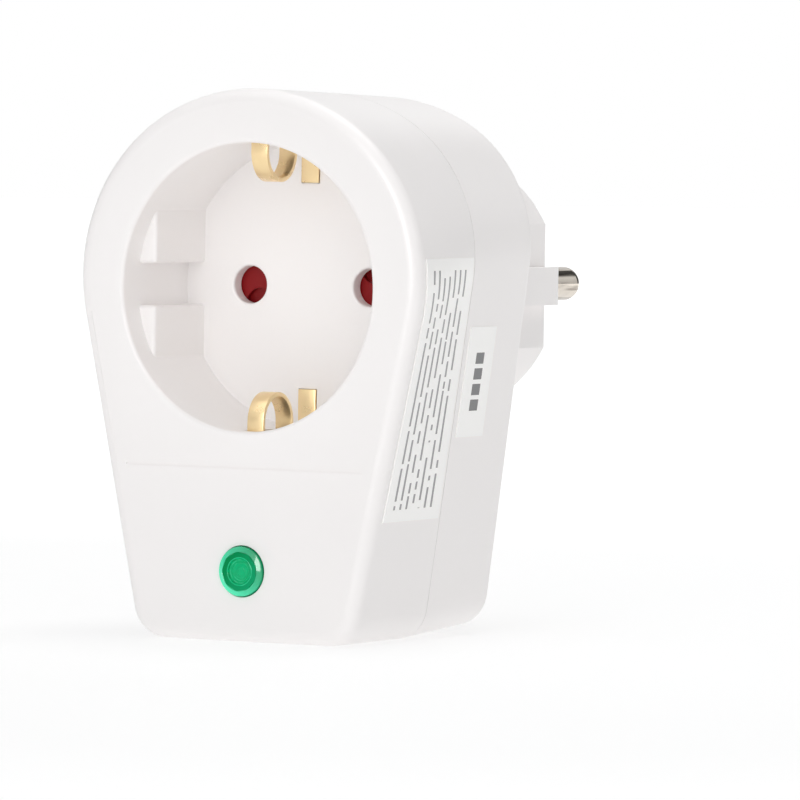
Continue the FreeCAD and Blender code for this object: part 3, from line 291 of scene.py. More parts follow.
def plated_nickel(name, colour):
    """Nickel on a turned brass pin: a slightly warm mirror with faint turning rings round the
    pin, small smears from the plating rack, and darker brown streaks along it that are a painted
    dark reflection."""
    mat, tree, shader, place = start_material(name, colour, 1.0, 0.14)
    # the wave texture multiplies its scale by 20
    rings = add_node(tree, "TexWave", [("wave_type", "BANDS"), ("bands_direction", "Y")],
                     [("Scale", per_mm(0.3) / 20), ("Distortion", 0.4), ("Detail", 2.0)],
                     [("Vector", place)]).outputs["Fac"]
    smears = add_node(tree, "TexNoise", values=[("Scale", per_mm(1.6)), ("Detail", 4.0)],
                      links=[("Vector", place)]).outputs["Fac"]
    plating = vary(tree, shader, smears, shade(colour, 0.86), shade(colour, 1.05), (0.06, 0.17))
    # painted reflection: darker brown streaks drawn along the pin, where its mirror would show
    # dark
    drawn = add_node(tree, "Mapping", values=[("Scale", (1.0, 0.07, 1.0))],
                     links=[("Vector", place)]).outputs["Vector"]
    streak_noise = add_node(tree, "TexNoise", values=[("Scale", per_mm(1.3)), ("Detail", 3.0)],
                       links=[("Vector", drawn)]).outputs["Fac"]
    painted_streak_mask = add_node(tree, "MapRange", [("interpolation_type", "SMOOTHSTEP")],
                      [("From Min", 0.54), ("From Max", 0.68), ("To Max", 0.6)],
                      [("Value", streak_noise)]).outputs["Result"]
    painted_dark_reflection = add_node(tree, "Mix", MIX_COLOURS, [(MIX_TWO, linear("#6A5D50"))],
                    [(MIX_FACTOR, painted_streak_mask), (MIX_ONE, plating)])
    tree.links.new(painted_dark_reflection.outputs[MIX_RESULT], shader.inputs["Base Color"])
    bump = add_node(tree, "Bump", values=[("Strength", 0.12), ("Distance", 0.004 * MM)],
                    links=[("Height", rings)])
    tree.links.new(bump.outputs["Normal"], shader.inputs["Normal"])
    return mat


def plain_metal(name, code, roughness, patch_mm):
    """Spring steel, zinc plated steel or tinned copper: dull silver with a fine spangle."""
    colour = linear(code)
    mat, tree, shader, place = start_material(name, colour, 1.0, roughness)
    spangle = add_node(tree, "TexVoronoi", values=[("Scale", per_mm(patch_mm))],
                       links=[("Vector", place)]).outputs["Distance"]
    vary(tree, shader, spangle, shade(colour, 1.05), shade(colour, 0.82),
         (roughness - 0.06, roughness + 0.1))
    return mat


def painted_ring_highlights(tree, place, out, gap):
    """Painted highlights: thin light rings round the lens axis, a gap apart, broken here and there
    and gone towards the middle. Their distance out from the axis and their gap are in lens radii."""
    wave = add_node(tree, "Math", [("operation", "PINGPONG")], [(1, gap / 2)],
                    [(0, out)]).outputs[0]
    lines = add_node(tree, "MapRange", [("interpolation_type", "SMOOTHSTEP")],
                     [("From Min", gap * 0.3), ("From Max", gap * 0.5)],
                     [("Value", wave)]).outputs["Result"]
    patches = add_node(tree, "TexNoise", values=[("Scale", per_mm(0.8)), ("Detail", 2.0)],
                       links=[("Vector", place)]).outputs["Fac"]
    broken = add_node(tree, "MapRange", values=[("From Min", 0.38), ("From Max", 0.66)],
                      links=[("Value", patches)]).outputs["Result"]
    outside = add_node(tree, "MapRange", values=[("From Min", 0.22), ("From Max", 0.34)],
                       links=[("Value", out)]).outputs["Result"]
    for part in (broken, outside):
        lines = add_node(tree, "Math", [("operation", "MULTIPLY")],
                         links=[(0, lines), (1, part)]).outputs[0]
    return lines


def green_plastic(name, one, two, gloss=0.0, painted_light_slant=None, ring_gap=0.0):
    """Green polycarbonate, polished in its mould. Where a slant is given, its colour is painted
    light and shade: lighter towards the slant and darker away from it. Else it changes slowly at
    random across the lens. A clear skin gives the rim its sharp highlights, and under it the
    deeper parts only show a weak shine. Where a ring gap is given, the core's turned rings carry
    painted highlights."""
    mat, tree, shader, place = start_material(name, one, 0.0, 0.12, 1.45)
    shader.inputs["Specular IOR Level"].default_value = 0.04 + 0.5 * gloss
    shader.inputs["Coat Weight"].default_value = gloss
    shader.inputs["Coat Roughness"].default_value = 0.03
    # places in lens radii from the axis, on which the depth no longer tells
    centred = add_node(tree, "Mapping", [("vector_type", "TEXTURE")],
                       [("Location", (LENS_X, 0.0, LENS_Z)),
                        ("Scale", (LENS_RADIUS, BOUNDLESS, LENS_RADIUS))],
                       [("Vector", place)]).outputs["Vector"]
    # the pattern named glow is painted light and shade along the slant; without a slant it is a
    # random tone
    if painted_light_slant:
        along = add_node(tree, "VectorMath", [("operation", "DOT_PRODUCT")], [(1, painted_light_slant)],
                         [(0, centred)])
        glow = add_node(tree, "MapRange", values=[("From Min", -0.9), ("From Max", 0.9)],
                        links=[("Value", along.outputs["Value"])]).outputs["Result"]
    else:
        glow = add_node(tree, "TexNoise", values=[("Scale", per_mm(1.1)), ("Detail", 2.0)],
                        links=[("Vector", place)]).outputs["Fac"]
    colour = vary(tree, shader, glow, one, two)
    if ring_gap:
        out = add_node(tree, "VectorMath", [("operation", "LENGTH")],
                       links=[(0, centred)]).outputs["Value"]
        # painted highlights: light green rings laid over the core's colour where its ridges bend
        highlit_core = add_node(tree, "Mix", MIX_COLOURS, [(MIX_TWO, linear("#3FDDA6"))],
                       [(MIX_FACTOR, painted_ring_highlights(tree, place, out, ring_gap)),
                        (MIX_ONE, colour)])
        tree.links.new(highlit_core.outputs[MIX_RESULT], shader.inputs["Base Color"])
    return mat


def bulb_glass(name):
    """Soda glass, blown: clear, with a trace of waviness from its seeds."""
    mat, tree, shader, place = start_material(name, linear("#F2F4F0"), 0.0, 0.04, 1.52)
    shader.inputs["Transmission Weight"].default_value = 0.9
    seeds = add_node(tree, "TexNoise", values=[("Scale", per_mm(1.2)), ("Detail", 1.0)],
                     links=[("Vector", place)]).outputs["Fac"]
    rough = add_node(tree, "MapRange", values=[("To Min", 0.02), ("To Max", 0.08)],
                     links=[("Value", seeds)]).outputs["Result"]
    tree.links.new(rough, shader.inputs["Roughness"])
    return mat


def speckled(name, one, two, patch_mm, roughness):
    """A plain coating or board with two close tones: epoxy, lacquer, glaze or laminate."""
    mat, tree, shader, place = start_material(name, linear(one), 0.0, roughness, 1.5)
    patch = add_node(tree, "TexNoise", values=[("Scale", per_mm(patch_mm)), ("Detail", 3.0)],
                     links=[("Vector", place)]).outputs["Fac"]
    vary(tree, shader, patch, linear(one), linear(two))
    bump = add_node(tree, "Bump", values=[("Strength", 0.2), ("Distance", 0.02 * MM)],
                    links=[("Height", patch)])
    tree.links.new(bump.outputs["Normal"], shader.inputs["Normal"])
    return mat


def printed_rows(tree, place, low, high, pitch, height, beat):
    """Where ink lies on a label: rows that run up it, a pitch apart, between the low and high
    corners. They are broken into uneven dashes, or into blocks a beat apart where one is given."""
    split = add_node(tree, "SeparateXYZ", links=[("Vector", place)])
    across = add_node(tree, "Math", [("operation", "SUBTRACT")], [(1, low.y)],
                      [(0, split.outputs["Y"])]).outputs[0]
    step = add_node(tree, "Math", [("operation", "MODULO")], [(1, pitch)],
                    [(0, across)]).outputs[0]
    row = add_node(tree, "Math", [("operation", "COMPARE")], [(1, pitch / 2), (2, height / 2)],
                   [(0, step)]).outputs[0]
    if beat:
        up = add_node(tree, "Math", [("operation", "SUBTRACT")], [(1, low.z)],
                      [(0, split.outputs["Z"])]).outputs[0]
        breaks = add_node(tree, "Math", [("operation", "PINGPONG")], [(1, beat / 2)],
                          [(0, up)]).outputs[0]
        least = beat * 0.14
    else:
        number = add_node(tree, "Math", [("operation", "SNAP")], [(1, pitch)],
                          [(0, across)]).outputs[0]
        along = add_node(tree, "CombineXYZ",
                         links=[("X", number), ("Z", split.outputs["Z"])]).outputs["Vector"]
        breaks = add_node(tree, "TexNoise", values=[("Scale", per_mm(1.7)), ("Detail", 0.0)],
                          links=[("Vector", along)]).outputs["Fac"]
        least = 0.4
    dash = add_node(tree, "Math", [("operation", "GREATER_THAN")], [(1, least)],
                    [(0, breaks)]).outputs[0]
    printed = add_node(tree, "Math", [("operation", "MULTIPLY")],
                       links=[(0, row), (1, dash)]).outputs[0]
    for axis, one, two in (("Y", low.y, high.y), ("Z", low.z, high.z)):
        inside = add_node(tree, "Math", [("operation", "COMPARE")],
                          [(1, (one + two) / 2), (2, (two - one) / 2)],
                          [(0, split.outputs[axis])]).outputs[0]
        printed = add_node(tree, "Math", [("operation", "MULTIPLY")],
                           links=[(0, printed), (1, inside)]).outputs[0]
    return printed


def coated_paper(name, colour, ink, low, high, pitch, height, beat=0.0):
    """Coated label paper, smoother than the case and whiter, with a painted glow: a faint emission
    lifts it above the light that falls on it. It is printed with plain rows, described by the last
    five arguments."""
    mat, tree, shader, place = start_material(name, colour, 0.0, 0.3, 1.5)
    # painted light: a faint glow that brightens the paper whatever light falls on it
    shader.inputs["Emission Color"].default_value = COOL_WHITE
    shader.inputs["Emission Strength"].default_value = 0.06
    fibre = add_node(tree, "TexNoise", values=[("Scale", per_mm(0.5)), ("Detail", 4.0)],
                     links=[("Vector", place)]).outputs["Fac"]
    sheet = vary(tree, shader, fibre, shade(colour, 0.97), shade(colour, 1.02))
    printed = printed_rows(tree, place, low, high, pitch, height, beat)
    inked = add_node(tree, "Mix", MIX_COLOURS, [(MIX_TWO, ink)],
                     [(MIX_FACTOR, printed), (MIX_ONE, sheet)])
    tree.links.new(inked.outputs[MIX_RESULT], shader.inputs["Base Color"])
    return mat


def deselect_all():
    """Leave edit mode and select nothing, because an operator acts on all that is selected."""
    if bpy.context.object and bpy.context.object.mode != "OBJECT":
        bpy.ops.object.mode_set(mode="OBJECT")
    bpy.ops.object.select_all(action="DESELECT")


def only(obj):
    """Select one object alone and make it the active one."""
    deselect_all()
    obj.select_set(True)
    bpy.context.view_layer.objects.active = obj


def dress(node_name, material):
    """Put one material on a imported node."""
    node = frame["nodes"][node_name]
    node.data.materials.clear()
    node.data.materials.append(material)


def settle(obj, body, material):
    """Bring a finished piece's place into its mesh, give it its material and let it ride."""
    only(obj)
    bpy.ops.object.transform_apply(location=True, rotation=True, scale=True)
    obj.data.name = obj.name
    obj.data.materials.clear()
    obj.data.materials.append(material)
    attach(obj, body)


def carve(piece, blocks):
    """Cut plain blocks, given by their low and high corners, out of a closed piece."""
    for low, high in blocks:
        deselect_all()
        bpy.ops.mesh.primitive_cube_add(size=1.0, location=(low + high) / 2)
        cutter = bpy.context.object
        bpy.ops.transform.resize(value=tuple(high - low))
        bpy.ops.object.transform_apply(location=True, rotation=True, scale=True)
        cut = piece.modifiers.new("carved", "BOOLEAN")
        cut.operation = "DIFFERENCE"
        cut.solver = "EXACT"
        cut.object = cutter
        only(piece)
        bpy.ops.object.modifier_apply(modifier=cut.name)
        bpy.data.objects.remove(cutter, do_unlink=True)


def eased(node_name, width, material, blocks=()):
    """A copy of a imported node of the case, with blocks carved out of it and its sharp edges
    eased, as a stamping press or a tumbler leaves them. It replaces the node."""
    piece = bpy.data.objects.new(node_name + "_eased", frame["nodes"][node_name].data.copy())
    bpy.context.scene.collection.objects.link(piece)
    only(piece)
    bpy.ops.object.mode_set(mode="EDIT")
    bpy.ops.mesh.select_all(action="SELECT")
    bpy.ops.mesh.remove_doubles(threshold=SAME_PLACE)
    bpy.ops.mesh.customdata_custom_splitnormals_clear()
    bpy.ops.mesh.dissolve_limited(angle_limit=math.radians(0.5))
    bpy.ops.object.mode_set(mode="OBJECT")
    carve(piece, blocks)
    only(piece)
    bevel = piece.modifiers.new("eased_edges", "BEVEL")
    bevel.width = width
    bevel.segments = 2
    bevel.limit_method = "ANGLE"
    bevel.angle_limit = math.radians(40)
    bpy.ops.object.modifier_apply(modifier=bevel.name)
    bpy.ops.object.shade_smooth_by_angle(angle=math.radians(35))
    settle(piece, CASE, material)
    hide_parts(node_name)


def spun(name, profile, steps=96, closed=False, side=1):
    """A closed turned piece about the lens axis. The profile's points are (radius, y) in metres,
    from the front's middle to the back's middle, or right round where it is closed. It starts on
    the +X side, or on the -X side where side is -1."""
    deselect_all()
    bpy.ops.mesh.primitive_circle_add(vertices=3, location=(0, 0, 0))
    obj = bpy.context.object
    obj.name = name
    bpy.ops.object.mode_set(mode="EDIT")
    mesh = bmesh.from_edit_mesh(obj.data)
    bmesh.ops.delete(mesh, geom=mesh.verts[:], context="VERTS")
    verts = [mesh.verts.new((LENS_X + side * r, y, LENS_Z)) for r, y in profile]
    for one, two in zip(verts, verts[1:] + (verts[:1] if closed else [])):
        mesh.edges.new((one, two))
    bmesh.update_edit_mesh(obj.data)
    bpy.ops.mesh.select_all(action="SELECT")
    bpy.ops.mesh.spin(steps=steps, angle=2 * math.pi, center=(LENS_X, 0, LENS_Z), axis=(0, 1, 0))
    bpy.ops.mesh.select_all(action="SELECT")
    bpy.ops.mesh.remove_doubles(threshold=2 * SAME_PLACE)
    bpy.ops.mesh.normals_make_consistent(inside=False)
    bpy.ops.object.mode_set(mode="OBJECT")
    bpy.ops.object.shade_smooth_by_angle(angle=math.radians(30))
    return obj


def wound(name, middle, radius, wire, start, end, turns):
    """A spring wound round an axis along Y, from start to end, with its wire's ends closed. Its
    radius is to the middle of the wire."""
    deselect_all()
    bpy.ops.curve.primitive_nurbs_path_add(location=(0, 0, 0))
    obj = bpy.context.object
    curve = obj.data
    curve.splines.clear()
    spline = curve.splines.new("NURBS")
    points_a_turn = 16
    last = int(turns * points_a_turn)
    spline.points.add(last)
    for k, point in enumerate(spline.points):
        angle = 2 * math.pi * k / points_a_turn
        point.co = (middle.x + radius * math.cos(angle), start + (end - start) * k / last,
                    middle.z + radius * math.sin(angle), 1.0)
    spline.order_u = 4
    spline.use_endpoint_u = True
    curve.resolution_u = 3
    curve.bevel_depth = wire / 2
    curve.bevel_resolution = 3
    curve.use_fill_caps = True
    bpy.ops.object.convert(target="MESH")
    obj = bpy.context.object
    obj.name = name
    bpy.ops.object.mode_set(mode="EDIT")
    bpy.ops.mesh.select_all(action="SELECT")
    bpy.ops.mesh.remove_doubles(threshold=SAME_PLACE)
    bpy.ops.mesh.normals_make_consistent(inside=False)
    bpy.ops.object.mode_set(mode="OBJECT")
    bpy.ops.object.shade_smooth_by_angle(angle=math.radians(40))
    return obj


class PLUG_OT_case(bpy.types.Operator):
    """Finish the two white shells and the contact carrier"""

    bl_idname = "plug.case"
    bl_label = "Case shells"

    def execute(self, context):
        finish = context.scene.plug_finish
        shell = moulded_plastic("moulded_white_abs", finish.shell, finish.grain)
        dress("front_shell", shell)
        dress("rear_shell", shell)
        dress("contact_carrier", moulded_plastic("plain_white_abs", shade(finish.shell, 0.96),
                                                 finish.grain * 2, roughness=0.45))
        return {"FINISHED"}


class PLUG_OT_shutter(bpy.types.Operator):
    """Finish the red shutter and wind its return spring"""

    bl_idname = "plug.shutter"
    bl_label = "Shutter"

    def execute(self, context):
        finish = context.scene.plug_finish
        dress("shutter", moulded_plastic("moulded_red_polyamide", finish.shutter, finish.grain,
                                         roughness=0.32, specular=0.2))
        low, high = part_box("shutter_spring")
        wire, play = 0.6 * MM, 0.1 * MM
        spring = wound("return_spring", (low + high) / 2, (high.x - low.x - wire) / 2 - play,
                       wire, low.y + wire / 2, high.y - wire / 2, turns=3.75)
        settle(spring, frame["nodes"]["shutter_spring"]["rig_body"],
               plain_metal("spring_steel", "#A9ABAD", 0.3, 0.4))
        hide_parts("shutter_spring")
        return {"FINISHED"}


class PLUG_OT_contacts(bpy.types.Operator):
    """Finish the brass strips, with a tab on each plug contact, and the nickel plated pins"""

    bl_idname = "plug.contacts"
    bl_label = "Contacts and pins"

    def execute(self, context):
        finish = context.scene.plug_finish
        brass = rolled_brass("rolled_brass_strip", finish.brass)
        nickel = plated_nickel("nickel_plated_brass", finish.nickel)
        for name, blocks in (("earth_clip_top", ()), ("earth_clip_bottom", ()),
                             ("plug_earth_top", self.shoulders("plug_earth_top", 1)),
                             ("plug_earth_bottom", self.shoulders("plug_earth_bottom", -1))):
            eased(name, 0.11 * MM, brass, blocks)
        for name in sorted(frame["nodes"]):
            if (name.startswith(("earth_bridge", "earth_rivet"))
                    or name.endswith(("_link", "_receptacle"))):
                dress(name, brass)
        dress("live_pin", nickel)
        dress("neutral_pin", nickel)
        return {"FINISHED"}

    def shoulders(self, name, sign):
        """Two blocks that leave a narrow tab in the middle of a plug contact's end. The sign is
        1 for the contact above the socket's middle and -1 for the one below it."""
        low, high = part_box(name)
        tab_half, past_edge = 0.75 * MM, 2.6 * MM
        tab_length, past_end = 0.75 * MM, 0.5 * MM
        heights = sorted(SOCKET_Z + sign * reach * MM for reach in (16.6, 18.6))
        blocks = []
        for side in (-1, 1):
            near, far = sorted((side * tab_half, side * past_edge))
            blocks.append((Vector((near, high.y - tab_length, heights[0])),
                           Vector((far, high.y + past_end, heights[1]))))
        return blocks


class PLUG_OT_lens(bpy.types.Operator):
    """Build the green lens: a light bevelled rim, a deep green faceted ring and a ringed core"""

    bl_idname = "plug.lens"
    bl_label = "Indicator lens"

    def execute(self, context):
        size = context.scene.plug_lens
        r, ring, core = size.radius, size.ring_radius, size.core_radius
        front = FACE_Y - size.stand
        # the well's floor, and the waist that leaves a fine shadow line round the lens
        well, waist = front + 0.42 * MM, r * 0.965
        seat, collar = FACE_Y + 0.75 * MM, FACE_Y + 1.65 * MM
        back, flange = LENS_HIGH.y, (LENS_HIGH.x - LENS_LOW.x) / 2
        rim = spun("lens_rim", [
            (0.0, well + 0.2 * MM), (core, well + 0.2 * MM), (core, front + 0.16 * MM),
            (ring * 0.98, front + 0.16 * MM), (ring * 0.985, front + 0.03 * MM),
            (ring, front + 0.015 * MM), (r * 0.925, front + 0.2 * MM),
            (r * 0.95, front + 0.24 * MM), (waist, front + 0.32 * MM),
            (waist, seat - 0.05 * MM), (r, seat), (r, collar), (flange, collar),
            (flange, back), (0.0, back)])
        facets = spun("lens_facets", [
            (core * 0.98, front + 0.08 * MM), (core * 1.05, front + 0.06 * MM),
            (ring * 0.94, front + 0.005 * MM), (ring, front + 0.03 * MM),
            (ring, front + 0.18 * MM), (core * 0.98, front + 0.18 * MM)],
            size.facets, closed=True, side=-1)
        disc = spun("lens_core", [
            (0.0, well), (core * 0.28, well + 0.01 * MM), (core * 0.33, well - 0.05 * MM),
            (core * 0.38, well), (core * 0.6, well + 0.01 * MM), (core * 0.66, well - 0.07 * MM),
            (core * 0.72, well), (core * 0.84, well), (core * 0.92, well - 0.12 * MM),
            (core * 0.97, front + 0.05 * MM), (core * 1.02, front + 0.02 * MM),
            (core * 1.07, front + 0.06 * MM), (core * 1.07, front + 0.17 * MM),
            (core * 0.98, front + 0.17 * MM), (core * 0.98, well + 0.18 * MM),
            (0.0, well + 0.18 * MM)])
        # the rim and the facets are painted lighter on one side of the lens and shaded on the
        # other; the core's rings are painted highlights
        for piece, material in (
                (rim, green_plastic("light_green_rim", size.rim_painted_shade, size.rim, gloss=0.6,
                                    painted_light_slant=(-0.85, 0.0, -0.5))),
                (facets, green_plastic("deep_green_facets", size.ring, size.ring_painted_light,
                                       painted_light_slant=(0.8, 0.0, -0.6))),
                (disc, green_plastic("green_core", size.core, size.core_light, gloss=0.15,
                                     ring_gap=0.1))):
            settle(piece, CASE, material)
            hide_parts("indicator_lens")
        return {"FINISHED"}


class PLUG_OT_labels(bpy.types.Operator):
    """Finish the large paper label with rows of plain dashes and the small one with four blocks"""

    bl_idname = "plug.labels"
    bl_label = "Paper labels"

    def execute(self, context):
        finish = context.scene.plug_finish
        margin = Vector((0, 1.6 * MM, 1.6 * MM))
        dress("side_label", coated_paper(
            "printed_label_paper", finish.paper, finish.ink, LABEL_LOW + margin,
            LABEL_HIGH - margin, pitch=1.9 * MM, height=0.6 * MM))
        margin.z = 3.25 * MM
        low, high = DATE_LOW + margin, DATE_HIGH - margin
        dress("date_label", coated_paper(
            "small_label_paper", finish.paper, shade(finish.ink, 0.45), low, high,
            pitch=high.y - low.y, height=2.4 * MM, beat=(high.z - low.z) / 4))
        return {"FINISHED"}


class PLUG_OT_inside(bpy.types.Operator):
    """Sink crosses into the screws and finish the lamp and the protection board"""

    bl_idname = "plug.inside"
    bl_label = "Inside"

    def execute(self, context):
        zinc = plain_metal("zinc_plated_steel", "#B4B6B8", 0.3, 0.5)
        tin = plain_metal("tinned_copper_wire", "#C9CBCC", 0.26, 0.3)
        for name in sorted(frame["nodes"]):
            if "_screw_" in name:
                eased(name, 0.06 * MM, zinc, self.cross(name))
            if name.startswith("lamp_lead_"):
                dress(name, tin)
        dress("indicator_lamp", bulb_glass("soda_glass_bulb"))
        dress("circuit_board", speckled("phenolic_board", "#A97C42", "#95692F", 0.8, 0.42))
        dress("varistor", speckled("blue_epoxy", "#1F4E9C", "#1A4388", 1.5, 0.28))
        dress("thermal_fuse", speckled("glazed_ceramic", "#E9E6DE", "#DEDACF", 1.2, 0.24))
        dress("resistor", speckled("tan_lacquer", "#C9A777", "#BD996A", 0.6, 0.3))
        return {"FINISHED"}

    def cross(self, name):
        """Two crossed blocks that sink a driver's cross into a screw head."""
        low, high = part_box(name)
        middle, head = (low + high) / 2, (high.x - low.x) / 2
        arm, blade, sunk = 0.62 * head, 0.14 * head, 0.4 * head
        return [(Vector((middle.x - wide, high.y - sunk, middle.z - tall)),
                 Vector((middle.x + wide, high.y + head, middle.z + tall)))
                for wide, tall in ((arm, blade), (blade, arm))]


class PLUG_OT_stage(bpy.types.Operator):
    """Set up the floor, the lights and the camera at the photograph's angle"""

    bl_idname = "plug.stage"
    bl_label = "Stage"

    def execute(self, context):
        stage = context.scene.plug_stage
        self.floor(stage)
        self.world(context.scene)
        self.lights()
        self.camera(context, stage)
        context.scene.view_settings.view_transform = "Standard"
        return {"FINISHED"}

    def floor(self, stage):
        """A round matt floor. It glows more with its distance, as a lit backdrop does, so that its
        edge is lost in the white."""
        deselect_all()
        bpy.ops.mesh.primitive_circle_add(vertices=96, radius=6.0, fill_type="NGON",
                                          location=(0, 0, -0.05 * MM))
        ground = bpy.context.object
        ground.name = "floor"
        mat, tree, shader, place = start_material("matt_white_floor", stage.floor, 0.0, 0.7, 1.4)
        mottle = add_node(tree, "TexNoise", values=[("Scale", per_mm(60)), ("Detail", 2.0)],
                          links=[("Vector", place)]).outputs["Fac"]
        vary(tree, shader, mottle, shade(stage.floor, 0.995), stage.floor)
        shader.inputs["Emission Color"].default_value = (1.0, 1.0, 1.0, 1.0)
        away = add_node(tree, "VectorMath", [("operation", "LENGTH")],
                        links=[("Vector", place)]).outputs["Value"]
        glow = add_node(tree, "MapRange", values=[("From Min", 0.2), ("From Max", 0.7),
                                                  ("To Min", 0.58), ("To Max", 0.82)],
                        links=[("Value", away)]).outputs["Result"]
        tree.links.new(glow, shader.inputs["Emission Strength"])
        ground.data.materials.append(mat)

    def world(self, scene):
        """White to the camera, and a light tent to the object."""
        world = scene.world or bpy.data.worlds.new("studio")
        scene.world = world
        world.use_nodes = True
        tree = world.node_tree
        tree.nodes.clear()
        ray = add_node(tree, "LightPath").outputs
        white = add_node(tree, "Background", values=[("Color", (1, 1, 1, 1)), ("Strength", 1.0)])
        tent = add_node(tree, "Background", values=[("Color", COOL_WHITE)],
                        links=[("Strength", self.tent(tree, ray["Is Glossy Ray"]))])
        mix = add_node(tree, "MixShader", links=[
            (0, ray["Is Camera Ray"]), (1, tent.outputs[0]), (2, white.outputs[0])])
        add_node(tree, "OutputWorld", links=[("Surface", mix.outputs[0])])

    def tent(self, tree, glossy):
        """The light tent's strength: brightest overhead and in front, with white cloth round it
        that only what is polished mirrors, and dark gaps in the cloth."""
        place = add_node(tree, "TexCoord").outputs["Generated"]
        height = add_node(tree, "SeparateXYZ", links=[("Vector", place)]).outputs["Z"]
        high = add_node(tree, "Math", [("operation", "POWER")], [(1, 1.5)],
                        [(0, height)]).outputs[0]
        overhead = add_node(tree, "MapRange", values=[("To Min", 0.08), ("To Max", 1.18)],
                            links=[("Value", high)]).outputs["Result"]
        cloth = add_node(tree, "Math", [("operation", "MULTIPLY")], [(1, 0.5)],
                         [(0, glossy)]).outputs[0]
        facing = add_node(tree, "VectorMath", [("operation", "DOT_PRODUCT")],
                          [(1, (0.32, -0.93, 0.17))], [(0, place)]).outputs["Value"]
        front = add_node(tree, "MapRange", [("interpolation_type", "SMOOTHSTEP")],
                         [("From Min", 0.75), ("To Max", 1.34)],
                         [("Value", facing)]).outputs["Result"]
        light = overhead
        for part in (cloth, front):
            light = add_node(tree, "Math", [("operation", "ADD")],
                             links=[(0, light), (1, part)]).outputs[0]
        level = add_node(tree, "VectorMath", [("operation", "MULTIPLY")], [(1, (1.0, 1.0, 0.0))],
                         [(0, place)]).outputs["Vector"]
        level = add_node(tree, "VectorMath", [("operation", "NORMALIZE")],
                         links=[(0, level)]).outputs["Vector"]
        for angle, half in TENT_GAPS:
            towards = (math.cos(math.radians(angle)), math.sin(math.radians(angle)), 0.0)
            near = add_node(tree, "VectorMath", [("operation", "DOT_PRODUCT")], [(1, towards)],
                            [(0, level)]).outputs["Value"]
            gap = add_node(tree, "MapRange",
                           values=[("From Min", math.cos(math.radians(half * GAP_FADE))),
                                   ("From Max", math.cos(math.radians(half))),
                                   ("To Min", 1.0), ("To Max", GAP_LIGHT)],
                           links=[("Value", near)]).outputs["Result"]
            light = add_node(tree, "Math", [("operation", "MULTIPLY")],
                             links=[(0, light), (1, gap)]).outputs[0]
        return light

    def lights(self):
        """Soft boxes round the tent. The strip only makes highlights on what is polished, the box
        behind makes none, and a soft spot reaches into the socket."""
        for name, place, wide, tall, power in (
                ("window_box", (0.86, -0.5, 0.3), 0.14, 0.14, 0.15),
                ("back_box", (0.0, 1.05, 0.16), 0.5, 0.5, 2.5),
                ("roof_box", (0.15, 0.2, 1.0), 0.5, 0.5, 3.0),
                ("strip_box", (0.16, -1.0, 0.12), 0.2, 1.0, 6.0)):
            away = Vector(place) - STAGE_CENTRE
            deselect_all()
            bpy.ops.object.light_add(type="AREA", location=place,
                                     rotation=away.to_track_quat("Z", "Y").to_euler())
            box = bpy.context.object
            box.name = name
            box.data.shape = "RECTANGLE"
            box.data.size = wide
            box.data.size_y = tall
            box.data.energy = power
            box.visible_diffuse = name != "strip_box"
            box.visible_glossy = name != "back_box"
        deselect_all()
        away, beam_radius = 1.0, 18.5 * MM
        bpy.ops.object.light_add(type="SPOT", location=(0.0, FACE_Y - away, SOCKET_Z),
                                 rotation=(math.radians(90), 0, 0))
        spot = bpy.context.object
        spot.name = "socket_spot"
        spot.data.energy = 5.0
        spot.data.spot_size = 2 * math.atan(beam_radius / away)
        spot.data.spot_blend = 0.35
        spot.data.shadow_soft_size = 0.02
        spot.visible_glossy = False

    def camera(self, context, stage):
        """A camera that sees the middle of the socket's face at its pixel in the photograph."""
        aim = Vector((0, FACE_Y, SOCKET_Z))
        a, e = stage.azimuth, stage.elevation
        back = Vector((math.sin(a) * math.cos(e), -math.cos(a) * math.cos(e), math.sin(e)))
        right = Vector((0, 0, 1)).cross(back).normalized()
        up = back.cross(right)
        half = PHOTO_SIDE / 2
        ray = Vector(((stage.aim_pixel[0] - half) / stage.focal_pixels,
                      (half - stage.aim_pixel[1]) / stage.focal_pixels, -1.0)).normalized()
        turn = Vector((0, 0, -1)).rotation_difference(ray).to_matrix()
        axes = turn @ Matrix.Rotation(stage.roll, 3, "Z") @ Matrix((right, up, back))
        place = Matrix.Translation(aim + back * stage.distance)
        deselect_all()
        bpy.ops.object.camera_add()
        cam = bpy.context.object
        cam.name = "photo_camera"
        cam.data.sensor_width = SENSOR_WIDTH
        cam.data.lens = stage.focal_pixels / PHOTO_SIDE * SENSOR_WIDTH
        cam.data.clip_end = 50.0
        cam.matrix_world = place @ axes.transposed().to_4x4()
        context.scene.camera = cam


class PLUG_PT_panel(bpy.types.Panel):
    """Lists the steps that dress the adapter"""

    bl_label = "Plug"
    bl_idname = "PLUG_PT_panel"
    bl_space_type = "VIEW_3D"
    bl_region_type = "UI"
    bl_category = "Plug"

    def draw(self, context):
        scene = context.scene
        for group in (scene.plug_finish, scene.plug_lens, scene.plug_stage):
            box = self.layout.box()
            for key in group.bl_rna.properties.keys():
                if key not in ("rna_type", "name"):
                    box.prop(group, key)
        for step in STEPS:
            self.layout.operator(step.bl_idname)


SETTINGS = {"plug_finish": PlugFinishSettings, "plug_lens": PlugLensSettings,
            "plug_stage": PlugStageSettings}
STEPS = (PLUG_OT_case, PLUG_OT_shutter, PLUG_OT_contacts, PLUG_OT_lens, PLUG_OT_labels,
         PLUG_OT_inside, PLUG_OT_stage)


def register():
    for group in SETTINGS.values():
        bpy.utils.register_class(group)
    for step in STEPS:
        bpy.utils.register_class(step)
    bpy.utils.register_class(PLUG_PT_panel)
    for key, group in SETTINGS.items():
        setattr(bpy.types.Scene, key, bpy.props.PointerProperty(type=group))


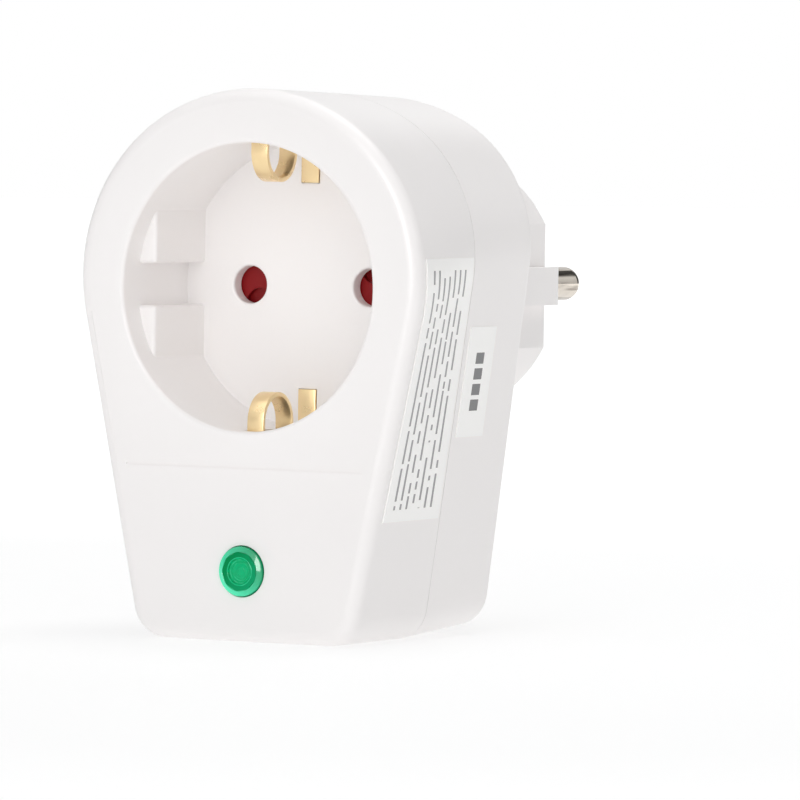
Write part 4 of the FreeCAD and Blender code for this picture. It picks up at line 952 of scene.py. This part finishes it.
def unregister():
    for key in SETTINGS:
        delattr(bpy.types.Scene, key)
    bpy.utils.unregister_class(PLUG_PT_panel)
    for step in reversed(STEPS):
        bpy.utils.unregister_class(step)
    for group in reversed(list(SETTINGS.values())):
        bpy.utils.unregister_class(group)


def main():
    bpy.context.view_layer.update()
    register()
    for step in STEPS:
        family, action = step.bl_idname.split(".")
        getattr(getattr(bpy.ops, family), action)()
    bpy.context.view_layer.update()


if __name__ == "__main__":
    main()
